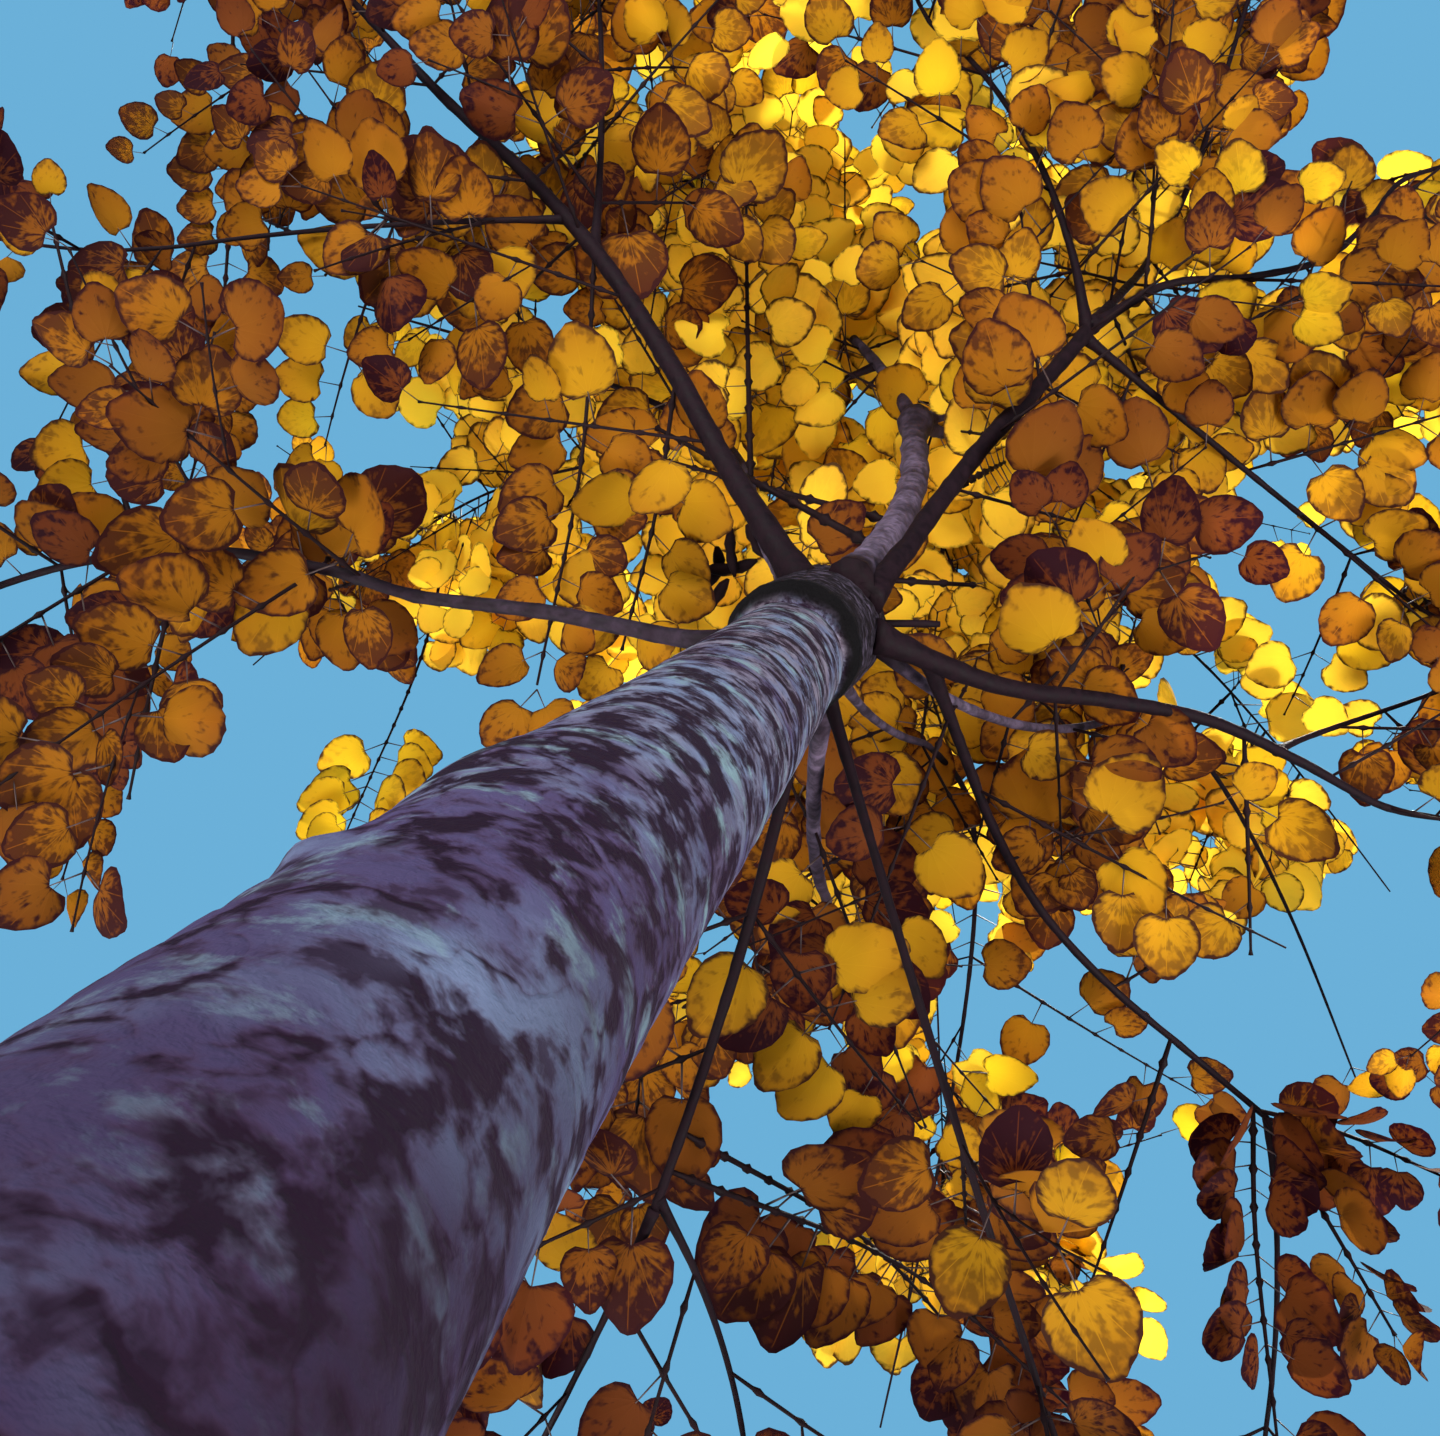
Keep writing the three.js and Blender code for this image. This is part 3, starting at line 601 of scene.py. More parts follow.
def growShoots(growth):
    for order, shoot in enumerate(shoots):
        dice = random.Random(301 + order * 7)
        limb, share = shoot["on"]
        root = pointOn((limbPaths if limb in limbPaths else stems)[limb], share)
        if "towards" in shoot:
            aim = pointAt(*shoot["towards"], shoot["height"])
            bend = (root + aim) / 2 + upwards * shootRun["arch"] * norm(aim - root)
            points = evenly([root, bend, aim], shootRun["step"])
        else:
            pitch = (shoot["pitch"], shoot["pitch"] + shootRun["rise"])
            points = turningPath(root, [shoot["azimuth"]] * 2, pitch, (0, 0), shoot["length"],
                                 shootRun["rings"])
        growth.twigs.append((np.array(points), *shoot["radius"]))
        if shoot["bare"] < 1:
            own = {key: shoot[key] for key in ("hang", "every", "turn") if key in shoot}
            leavesAlong(growth, dice, points, lengthOf(points) * shoot["bare"],
                        shoot.get("tint", dice.random()), bulk=shoot.get("size", 1), **own)


def growCrown():
    growth = Growth()
    growShoots(growth)
    for order, (name, points) in enumerate(stems.items()):
        dice = random.Random(101 + order * 17)
        every = twig["every"][int(middles[name][2] > twig["highFrom"])]
        twigsAlong(growth, dice, name, points, every, (twig["firstAt"], twig["lastAt"]),
                   twig["spread"], twig["length"])
        leavesAlong(growth, dice, points, 2 * leaf["bareFoot"], dice.random())
    for order, (name, points) in enumerate(limbPaths.items()):
        dice = random.Random(701 + order * 13)
        whole = lengthOf(points)
        if name != "leader" and whole >= boughTwig["shortest"]:
            begin = boughTwig["from" if onTrunk(name) else "forkFrom"] / whole
            twigsAlong(growth, dice, None, points, boughTwig["every"], (begin, 0.96), boughTwig["spread"],
                       boughTwig["length"])
    return growth


growth = growCrown()
print("grown:", len(growth.twigs), "twigs and", len(growth.seats), "leaves")


def valueNoise(places, seed):    # smooth noise from 0 to 1
    cell = np.floor(places).astype(np.int64)
    part = places - cell
    part = part * part * (3 - 2 * part)
    total = np.zeros(len(places))
    for corner in range(8):
        offset = np.array([corner & 1, corner >> 1 & 1, corner >> 2 & 1])
        share = np.prod(np.where(offset == 1, part, 1 - part), axis=1)
        x, y, z = (cell + offset).T
        mixed = (x * 73856093) ^ (y * 19349663) ^ (z * 83492791) ^ (seed * 2654435)
        mixed = ((mixed ^ (mixed >> 13)) * 1274126177) & 0xFFFFFFFF
        mixed = ((mixed ^ (mixed >> 16)) * 2246822519) & 0xFFFFFFFF
        total += share * ((mixed >> 8) & 0xFFFF) / 0xFFFF
    return total


def layeredNoise(places, seed, layers=4, gain=0.55):
    total = np.zeros(len(places))
    weight = 1.0
    whole = 0.0
    for layer in range(layers):
        total += weight * valueNoise(places * 2.03 ** layer, seed + layer * 31)
        whole += weight
        weight *= gain
    return total / whole


def addAttribute(mesh, name, values, kind="FLOAT"):
    values = np.asarray(values, np.int32 if kind == "INT" else np.float32)
    slot = "vector" if kind == "FLOAT_VECTOR" else "value"
    mesh.attributes.new(name, kind, "POINT").data.foreach_set(slot, values.ravel())


def meshFrom(name, points, faces, attributes=(), smooth=True):
    mesh = bpy.data.meshes.new(name)
    mesh.from_pydata(points, [], faces, shade_flat=not smooth)
    mesh.validate()
    for key, values in dict(attributes).items():
        addAttribute(mesh, key, values)
    return show(name, mesh)


def ringFrames(points):    # two directions across the path at each of its points, without a twist
    along = np.gradient(points, axis=0)
    along /= norm(along, axis=1)[:, None]
    helper = upwards if abs(along[0][2]) < 0.9 else np.array([1.0, 0, 0])
    side = np.cross(helper, along[0])
    sides = []
    for way in along:
        side = unit(side - way * side.dot(way))
        sides.append(side)
    sides = np.array(sides)
    return sides, np.cross(along, sides)


def tube(points, radii, sides):    # (vertices, triangles) of a tube with its ends closed
    points = np.asarray(points)
    across, other = ringFrames(points)
    angles = np.arange(sides) * 2 * math.pi / sides
    ways = across[:, None] * np.cos(angles)[:, None] + other[:, None] * np.sin(angles)[:, None]
    rings = points[:, None] + np.asarray(radii)[:, None, None] * ways
    verts = np.concatenate([rings.reshape(-1, 3), points[:1], points[-1:]])
    here = np.arange(len(points) * sides).reshape(-1, sides)
    right = np.roll(here, -1, axis=1)
    a, b, c, d = (part.ravel() for part in (here[:-1], right[:-1], right[1:], here[1:]))
    foot = np.full(sides, here.size)
    faces = [(a, b, c), (a, c, d), (right[0], here[0], foot), (here[-1], right[-1], foot + 1)]
    return verts, np.concatenate([np.stack(corners, axis=1) for corners in faces])


def joinTubes(tubes):
    starts = np.cumsum([0] + [len(verts) for verts, tris in tubes])
    return (np.concatenate([verts for verts, tris in tubes]),
            np.concatenate([tris + start for (verts, tris), start in zip(tubes, starts)]))


# Materials.
def linear(rgb):
    return [((c + 0.055) / 1.055) ** 2.4 if c > 0.04045 else c / 12.92 for c in rgb] + [1]


def connect(tree, socket, value):    # a socket is linked, a plain value is set
    if isinstance(value, bpy.types.NodeSocket):
        tree.links.new(value, socket)
    else:
        socket.default_value = value


def addNode(tree, kind, inputs=None, **settings):
    node = tree.nodes.new(kind)
    for key, value in settings.items():
        setattr(node, key, value)
    for key, value in (inputs or {}).items():
        connect(tree, node.inputs[key], value)
    return node


class Shade:    # short calls for building one material's nodes
    def __init__(self, name):
        self.material = bpy.data.materials.new(name)
        self.material.use_nodes = True
        self.tree = self.material.node_tree
        self.principled = self.tree.nodes["Principled BSDF"]

    def add(self, kind, inputs=None, **settings):
        return addNode(self.tree, "ShaderNode" + kind, inputs, **settings)

    def noise(self, scale, detail=3.0, roughness=0.55, stretch=(1, 1, 1), distortion=0.0):
        place = self.add("TexCoord").outputs["Object"]
        mapping = self.add("Mapping", {"Vector": place, "Scale": stretch})
        return self.add("TexNoise", {"Vector": mapping.outputs[0], "Scale": scale, "Detail": detail,
                                     "Roughness": roughness, "Distortion": distortion}).outputs["Fac"]

    def ramp(self, source, low, high, ends=(0, 1)):
        return self.add("MapRange", {"Value": source, "From Min": low, "From Max": high, "To Min": ends[0],
                                     "To Max": ends[1]}).outputs[0]

    def math(self, operation, first, *rest):    # over all the terms, from left to right
        for term in rest or (0.0,):
            first = self.add("Math", {0: first, 1: term}, operation=operation).outputs[0]
        return first

    def plus(self, *terms):
        return self.math("ADD", *terms)

    def times(self, *terms):
        return self.math("MULTIPLY", *terms)

    def mix(self, share, a, b):
        return self.add("Mix", {0: share, 6: a, 7: b}, data_type="RGBA").outputs[2]

    def attribute(self, name):
        return self.add("Attribute", attribute_name=name).outputs["Fac"]

    def bump(self, height, strength, distance):
        return self.add("Bump", {"Height": height, "Strength": strength, "Distance": distance}).outputs[0]

    def finish(self, colour, roughness, specular=0.5, normal=None):
        looks = {"Base Color": colour, "Roughness": roughness, "Specular IOR Level": specular}
        if normal:
            looks["Normal"] = normal
        for key, value in looks.items():
            connect(self.tree, self.principled.inputs[key], value)
        return self.material


# The "low" tint is painted shade, laid on the trunk a little over a metre up.
barkTints = {
    "foot": (0.36, 0.32, 0.41), "low": (0.13, 0.07, 0.145), "violet": (0.24, 0.21, 0.325),
    "pale": (0.355, 0.40, 0.49), "mauve": (0.403, 0.379, 0.427), "lichen": (0.40, 0.49, 0.505),
    "dark": (0.078, 0.015, 0.075), "warm": (0.196, 0.124, 0.196), "head": (0.037, 0.012, 0.026),
    "headFibre": (0.30, 0.265, 0.325), "shadow": (0.007, 0.003, 0.007), "shade": (0.11, 0.05, 0.105),
}
barkBands = {    # metres up the trunk over which a look comes in
    "low": (0.5, 1.16), "clear": (1.04, 1.45), "cloud": (1.0, 2.0), "lichen": (1.2, 1.6),
    "sharp": (1.2, 1.5), "wrinkled": (1.45, 2.0), "shade": (1.5, 1.9),
}
shadeTowards = (10.7, -12.8)


def trunkBark():    # worm-like dark blotches low down, fine wrinkles round the trunk near its head
    s = Shade("trunkBark")
    tint = {name: linear(rgb) for name, rgb in barkTints.items()}
    place = s.add("SeparateXYZ", {0: s.add("TexCoord").outputs["Object"]}).outputs

    def up(band, ends=(0, 1)):
        return s.ramp(place[2], *barkBands[band], ends)

    clear = up("clear")
    high = up("wrinkled")
    cloud = s.plus(s.noise(9, 3), up("cloud", (-0.09, 0.07)))
    # Painted shade: the dark "low" tint is strongest a little over a metre up and fades into the paler foot
    # below and the violet bark above.
    base = s.mix(clear, s.mix(up("low"), tint["foot"], tint["low"]), tint["violet"])
    base = s.mix(s.times(s.ramp(cloud, 0.42, 0.60), clear), base, tint["pale"])
    base = s.mix(s.times(high, s.ramp(s.noise(31, 3), 0.40, 0.56)), base, tint["mauve"])
    lichen = s.ramp(s.noise(26, 6, 0.7, (1, 1, 1.5), 0.3), 0.53, 0.62)
    base = s.mix(s.times(lichen, up("lichen", (0.1, 0.9))), base, tint["lichen"])
    worms = s.math("ABSOLUTE", s.plus(s.noise(27, 2, 0.5, (1, 1, 1.1), 0.5), -0.5))
    patches = s.noise(50, 4, 0.6, (1, 1, 1.0), 0.3)
    cluster = s.noise(12, 2, 0.5, (1, 1, 0.8))
    lowDark = s.plus(s.ramp(worms, 0.0, 0.07, (0.12, -0.04)), s.ramp(patches, 0.38, 0.62, (-0.14, 0.20)),
                     s.ramp(cluster, 0.34, 0.66, (-0.08, 0.05)))
    wrinkles = s.noise(30, 7, 0.72, (1, 1, 1.7), 0.6)
    rough = s.noise(170, 3, 0.7, (1, 1, 1.8))
    highDark = s.plus(s.ramp(wrinkles, 0.37, 0.63, (-0.19, 0.25)),
                      s.ramp(patches, 0.38, 0.62, (-0.06, 0.10)), s.ramp(rough, 0.3, 0.7, (-0.09, 0.09)))
    amount = s.add("Mix", {0: high, 2: lowDark, 3: highDark}, data_type="FLOAT").outputs[0]
    amount = s.plus(amount, s.times(s.plus(s.attribute("blotch"), -0.5), 0.08))
    colour = s.mix(s.ramp(amount, -0.12, 0.05, (0, 0.6)), base, tint["warm"])
    sharp = s.times(s.plus(amount, -0.065), up("sharp", (0.7, 1)))
    colour = s.mix(s.ramp(sharp, -0.065, 0.065, (0, 0.95)), colour, tint["dark"])
    towards = s.plus(s.times(place[0], shadeTowards[0]), s.times(place[1], shadeTowards[1]))
    shade = s.times(s.ramp(towards, 0.78, 1.02, (0, 0.7)), up("shade", (1, 0)))
    colour = s.mix(shade, colour, tint["shade"])
    fibre = s.noise(52, 6, 0.72, (1, 1, 2.8), 1.2)
    inHead = s.attribute("headPart")
    colour = s.mix(inHead, colour, s.mix(s.ramp(fibre, 0.50, 0.64), tint["head"], tint["headFibre"]))
    colour = s.mix(s.attribute("ledge"), colour, tint["shadow"])
    grain = s.math("SUBTRACT", s.times(s.noise(95, 4, 0.65, (1, 1, 1.5)), 0.35), amount)
    grain = s.plus(grain, s.times(fibre, inHead, 0.8))
    return s.finish(colour, 0.9, 0.1, s.bump(grain, 0.9, 0.004))


def boughBark(name, dark, pale):
    s = Shade(name)
    grain = s.noise(85, 4, 0.6, (1, 1, 1.6), 0.3)
    tint = s.mix(s.ramp(grain, 0.34, 0.68), linear(dark), linear([c * 2.0 + 0.015 for c in dark]))
    paleTint = s.mix(s.ramp(grain, 0.40, 0.62), linear([c * 0.6 for c in pale]), linear(pale))
    share = s.times(s.attribute("pale"), s.ramp(s.noise(24, 3), 0.34, 0.6, (0.55, 1)))
    return s.finish(s.mix(share, tint, paleTint), s.ramp(grain, 0.3, 0.7, (0.6, 0.85)), 0.08,
                    s.bump(s.noise(170, 3, 0.6), 0.6, 0.0012))


leafLook = {    # its texture has the leaf's base at this place in each of the tiles
    "tiles": (3.0, 2.0), "base": (0.125, 0.5), "veins": 7.5, "rim": (0.145, 0.026, 0.062), "through": 0.58,
    "shaded": (0.80, 0.66, 0.7),
}


def leafMaterial(name, colour, mottled):    # a thin blade: blotched between its veins, with a dark rim
    s = Shade(name)
    uv = s.add("SeparateXYZ", {0: s.add("UVMap", uv_map="OFBake").outputs[0]}).outputs
    x, y = [s.plus(s.math("FRACT", s.times(uv[i], leafLook["tiles"][i])), -leafLook["base"][i])
            for i in (0, 1)]
    angle = s.math("ARCTAN2", y, x)
    far = s.math("SQRT", s.plus(s.times(x, x), s.times(y, y)))
    tone = s.attribute("tone")
    rays = s.math("ABSOLUTE", s.math("SINE", s.times(angle, leafLook["veins"])))
    polar = s.add("CombineXYZ", {0: s.times(angle, 3.4), 1: s.times(far, 4.5), 2: s.times(tone, 60.0)})
    streaks = s.add("TexNoise", {"Vector": polar.outputs[0], "Scale": 1.5, "Detail": 2.5,
                                 "Roughness": 0.5}).outputs["Fac"]
    drawn = s.plus(streaks, s.ramp(far, 0.12, 0.62, (-0.2 + 0.1 * mottled, 0.02 + 0.1 * mottled)),
                   s.ramp(tone, 0, 1, (-0.25, 0.11)))
    offVein = s.times(rays, far)
    blots = s.times(s.ramp(drawn, 0.43, 0.60), s.ramp(offVein, 0.0, 0.065))
    fringe = s.plus(s.attribute("rim"), s.times(s.plus(streaks, -0.5), 1.6),
                    s.ramp(tone, 0, 1, (-0.2 + 0.2 * mottled, 0.2 + 0.2 * mottled)))
    dark = s.math("MAXIMUM", s.times(blots, mottled), s.times(s.ramp(fringe, 0.42, 0.95), 0.94))
    shaded = s.plus(s.ramp(tone, 0, 1, (0.0, 0.4)), s.ramp(far, 0.25, 0.75, (0, 0.3 + 0.4 * mottled)))
    base = s.mix(shaded, linear(colour), linear([c * k for c, k in zip(colour, leafLook["shaded"])]))
    bright = linear([min(1, c * 1.25 + 0.05) for c in colour])
    veined = s.mix(s.ramp(offVein, 0.0, 0.02, (0.14, 0)), base, bright)
    shown = s.mix(dark, veined, linear(leafLook["rim"]))
    s.finish(shown, 0.75, 0.1, s.bump(rays, 0.35, 0.0006))
    glow = s.add("BsdfTranslucent", {"Color": shown}).outputs[0]
    both = s.add("MixShader", {0: leafLook["through"], 1: s.principled.outputs[0], 2: glow}).outputs[0]
    connect(s.tree, s.tree.nodes["Material Output"].inputs["Surface"], both)
    return s.material


def stalkMaterial():
    s = Shade("leafStalk")
    grain = s.noise(140, 2)
    colour = s.mix(grain, linear((0.19, 0.08, 0.05)), linear((0.10, 0.035, 0.03)))
    return s.finish(colour, 0.55, normal=s.bump(grain, 0.4, 0.0005))


# The trunk: a bark surface with its blotches and cracks standing in relief, up over the head.
bark = {
    "around": 112, "step": 4.0, "relief": 1.6, "headRelief": 4.0, "warp": 30, "coarse": (34, 34, 40),
    "medium": (15, 15, 12), "cracks": (20, 20, 5), "rough": (13, 13, 30), "fibres": (22, 22, 5),
    "crackedFrom": 1500, "crackedOver": 700, "fadeOver": 25,
}
trunkKnots = [    # height, azimuth, how far it stands out, and its spread
    (1430, 192, 5, 9), (1555, 196, 4, 26), (1890, 20, 4, 14), (1240, -60, 4, 18), (760, 110, 6, 22),
    (520, -20, 5, 26), (1660, 95, 5, 16), (980, 215, 4, 20),
]


def trunkStations():    # centre x and y, height, radius, flare, share of head and of ledge, ring by ring
    rows = []
    for z in np.arange(0, trunk["collarHeight"] + 0.1, bark["step"]):
        lean = -trunk["sway"] * math.exp(-((z - trunk["swayHeight"]) / trunk["swaySpan"]) ** 2)
        flare = trunk["flareRadius"] * math.exp(-z / trunk["flareHeight"])
        radius = between((trunk["groundRadius"], trunk["collarRadius"]), z / trunk["collarHeight"])
        rows.append((lean, 0, z, radius, flare, 0, 0))
    top = rows[-1]
    lip = (*head["ledgeCentre"], trunk["collarHeight"] + head["ledgeDepth"], head["ledgeRadius"])
    for share in head["ledgeShares"]:
        x, y, z, radius = [between(pair, share) for pair in zip(top, lip)]
        sag = head["ledgeSag"] * math.sin(share * math.pi) if share < 1 else 0
        rows.append((x, y, z - sag, radius, 0, min(1, share * 2), min(1, share * 2)))
    for i in range(1, head["rings"] + 1):
        share = i / head["rings"]
        dome = max(0, (share - head["domeFrom"]) / (1 - head["domeFrom"]))
        radius = between((head["topRadius"], head["ledgeRadius"]), math.sqrt(1 - dome * dome))
        x, y = [between(pair, share) for pair in zip(lip, head["topCentre"])]
        rows.append((x, y, lip[2] + share * head["height"], radius, 0, 1, max(0, 1 - share * 8)))
    return rows


def buildTrunk():
    rows = np.array(trunkStations())
    n = bark["around"]
    angles = np.arange(n) * 2 * math.pi / n
    ways = np.stack([np.cos(angles), np.sin(angles), np.zeros(n)], axis=1)
    lobes = 1 + trunk["lobeDepth"] * np.cos(trunk["flareLobes"] * angles)
    radius = rows[:, 3:4] + rows[:, 4:5] * lobes
    flat = (rows[:, None, :3] + radius[:, :, None] * ways).reshape(-1, 3)
    height = flat[:, 2]
    inHead, ledge = np.repeat(rows[:, 5:], n, axis=0).T
    low = np.clip(1 - height / trunk["collarHeight"], 0, 1)
    shifts = [layeredNoise(flat / bark["warp"], seed, 2) - 0.5 for seed in (71, 72, 73)]
    warp = np.stack(shifts, axis=1) * bark["warp"]
    coarse = layeredNoise((flat + warp) / bark["coarse"], 5, 3)
    medium = layeredNoise((flat + warp * 0.6) / bark["medium"], 17, 3)
    cracks = layeredNoise((flat + warp * 0.3) / bark["cracks"], 29, 3)
    nearCollar = np.clip((height - bark["crackedFrom"]) / bark["crackedOver"], 0, 1)
    blotch = coarse * (0.60 + 0.06 * low) + medium * (0.40 - 0.06 * low)
    blotch = blotch * (1 - 0.45 * nearCollar) + cracks * 0.45 * nearCollar
    blotch = np.clip((blotch - 0.5) * 2.4 + 0.46, 0, 1)
    relief = (bark["relief"] * (1 - blotch) + (cracks - 0.5) * (0.4 + nearCollar)) * (1 - inHead)
    rough = layeredNoise(flat / bark["rough"], 41, 4)
    fibres = layeredNoise(flat / bark["fibres"], 47, 3)
    relief = relief + bark["headRelief"] * ((rough - 0.5) + 0.5 * (fibres - 0.5)) * inHead
    for z, azimuth, proud, spread in trunkKnots:
        apart = (np.degrees(np.arctan2(flat[:, 1], flat[:, 0])) - azimuth + 180) % 360 - 180
        across = np.radians(apart) * np.hypot(flat[:, 0], flat[:, 1])
        knot = np.exp(-(across ** 2 + ((height - z) * 0.7) ** 2) / spread ** 2)
        relief = relief + proud * knot
        blotch = np.clip(blotch + 0.9 * knot * (1 - knot), 0, 1)
    flat = flat + np.tile(ways, (len(rows), 1)) * (relief * np.clip(height / bark["fadeOver"], 0, 1))[:, None]
    flat[:, 2] = np.where(height < 0.5, 0, flat[:, 2])
    index = np.arange(len(flat)).reshape(-1, n)
    right = np.roll(index, -1, axis=1)
    quads = np.stack([index[:-1], right[:-1], right[1:], index[1:]], axis=-1).reshape(-1, 4)
    cap = np.stack([index[-1], right[-1], np.full(n, len(flat))], axis=1)
    flat = np.concatenate([flat, [[*head["topCentre"], flat[-1][2] + 4]]])
    looks = {"blotch": np.append(blotch, 0.5), "headPart": np.append(inHead, 1), "ledge": np.append(ledge, 0)}
    made = meshFrom("trunk_bark", flat * mm, [*quads, index[0][::-1], *cap], looks)
    made.data.materials.append(trunkBark())
    return made


trunkPiece = buildTrunk()
print("trunk:", len(trunkPiece.data.polygons), "faces")

# The boughs: each limb and the stem it carries are one smooth tapering run of wood.
wood = {
    "step": 12, "sides": 12, "footSwelling": 0.8, "leaderSwelling": 0.25, "footLength": 34, "nodeEvery": 62,
    "nodeSwelling": 0.1, "nodeShift": 0.37, "lump": 0.28, "lumpSize": (15, 15, 22), "knobRadius": 25,
    "knobReach": 46, "leaderPale": 560,
}


def buildBoughs(name, wanted):
    tubes = []
    paleness = []
    for order, (limb, (*_, (footRadius, tipRadius))) in enumerate(limbs.items()):
        if not wanted(limb):
            continue
        leads = limb == "leader"
        points = list(limbPaths[limb])
        run = lengthOf(points)
        host = next((mass for mass, aim in masses.items() if aim[0] == limb), None)
        if host:
            points += stems[host][1:]
        fine = rounded(points, wood["step"])
        along = distances(fine)
        radius = between((footRadius, tipRadius), np.clip(along / run, 0, 1))
        if host:
            beyond = np.clip((along - run) / max(1, along[-1] - run), 0, 1)
            radius = radius + (massStem["tipRadius"] - tipRadius) * beyond
        swelling = wood["leaderSwelling" if leads else "footSwelling"] * np.exp(-along / wood["footLength"])
        phase = (along / wood["nodeEvery"] + order * wood["nodeShift"]) % 1
        nodes = wood["nodeSwelling"] * np.exp(-((phase - 0.5) / 0.07) ** 2)
        radius = radius * (1 + swelling + nodes)
        if leads:
            top = np.clip((along - (along[-1] - wood["knobReach"])) / wood["knobReach"], 0, 1)
            radius = radius + (wood["knobRadius"] - radius) * np.sin(top * math.pi * 0.62) * 0.9
        verts, tris = tube(fine, radius, wood["sides"])
        lump = layeredNoise(verts / wood["lumpSize"], 61, 3) - 0.5
        centre = np.concatenate([np.repeat(fine, wood["sides"], axis=0), fine[:1], fine[-1:]])
        tubes.append((verts + (verts - centre) * (lump * wood["lump"])[:, None], tris))
        far = np.concatenate([np.repeat(along, wood["sides"]), along[:1], along[-1:]])
        fading = np.sqrt(np.clip(1.15 - far / (wood["leaderPale"] if leads else run), 0, 1))
        phase = (far / wood["nodeEvery"] + order * wood["nodeShift"]) % 1
        scars = np.exp(-((phase - 0.62) / 0.06) ** 2)
        pale = paleBark.get(limb, 0) * fading
        paleness.append(pale * np.clip(far / 70 - 0.2, 0, 1) * (1 - 0.6 * scars))
    for limb, start, azimuth, pitch, length, radius, pale in cutStubs:
        if wanted(limb):
            points = turningPath(start or pointOn(limbPaths[limb], 1), azimuth, pitch, (0, 0), length, 6)
            tubes.append(tube(points, [radius * k for k in (1.5, 1.1, 1, 1, 1, 1.05, 0.8)], wood["sides"]))
            paleness.append(np.full(len(tubes[-1][0]), pale))
    points, faces = joinTubes(tubes)
    made = meshFrom(name, points * mm, faces, {"pale": np.concatenate(paleness)})
    made.data.materials.append(boughMaterial)
    return made


boughMaterial = boughBark("boughBark", (0.029, 0.005, 0.017), (0.412, 0.361, 0.445))
lowerBoughs = buildBoughs("lower_boughs", lambda n: n.startswith("bough"))
upperBoughs = buildBoughs("upper_limbs", lambda n: not n.startswith("bough"))
print("boughs:", len(lowerBoughs.data.polygons) + len(upperBoughs.data.polygons), "faces")

# The twigs: thin five-sided runs with a small knuckle at each pair of leaves.
twigWood = {"sides": 5, "knuckle": 1.5, "knuckleLength": 5}


def buildTwigs():
    tubes = []
    for points, root, tip in growth.twigs:
        run = lengthOf(list(points))
        count = max(1, int((run - leaf["bareFoot"]) / leaf["every"]))
        knots = [leaf["bareFoot"] + i * (run - leaf["bareFoot"]) / count for i in range(count + 1)]
        stops = sorted({0, *[k + d for k in knots for d in (-6, 0, 6) if 0 < k + d <= run]})
        fine = np.array([pointOn(list(points), s / run) for s in stops])
        radii = []
        for s in stops:
            near = min(abs(s - k) for k in knots)
            knuckle = 1 + twigWood["knuckle"] * math.exp(-(near / twigWood["knuckleLength"]) ** 2)
            radii.append(between((root, tip), s / run) * knuckle)
        tubes.append(tube(fine, radii, twigWood["sides"]))
    points, faces = joinTubes(tubes)
    made = meshFrom("twigs", points * mm, faces, {"pale": np.zeros(len(points))})
    made.data.materials.append(boughBark("twigBark", (0.033, 0.006, 0.012), (0.228, 0.148, 0.188)))
    return made


twigs = buildTwigs()
print("twigs:", len(twigs.data.polygons), "faces")

# The leaves: a few blade shapes, dealt out to the seats by Geometry Nodes.
blade = {
    "inner": 10, "innerShare": 0.78, "width": 0.95, "lowWidth": 0.13, "notch": 0.10,
    "notchSpan": 0.30, "point": 0.07, "pointSpan": 0.42, "scallop": 0.011, "stalk": 0.34, "sink": 0.05,
    "stalkRadius": (0.017, 0.010),
}
bladeShapes = [    # cup, fold along the midrib, droop of the tip, twist, width, depth of the notch
    (0.06, 0.03, 0.08, 0.00, 1.00, 1.0), (-0.08, 0.00, 0.05, 0.05, 1.06, 1.5),
    (0.02, 0.14, 0.12, -0.04, 0.94, 0.8), (0.12, -0.05, 0.16, 0.08, 1.02, 1.3),
    (-0.03, 0.05, 0.02, -0.10, 0.90, 1.0), (0.16, 0.30, 0.22, 0.16, 1.00, 1.4),
]


def bladeOutline(turn, broad, notch):    # along and across, from the leaf's base at 0 to its tip at 1
    fromTip = min(turn, 2 * math.pi - turn)
    x = 0.5 + 0.5 * math.cos(turn)
    y = 0.5 * blade["width"] * broad * math.sin(turn) * (1 - blade["lowWidth"] * math.cos(turn))
    x += blade["point"] * math.exp(-(fromTip / blade["pointSpan"]) ** 2)
    x += blade["notch"] * notch * math.exp(-((math.pi - fromTip) / blade["notchSpan"]) ** 2)
    return np.array([x, y])


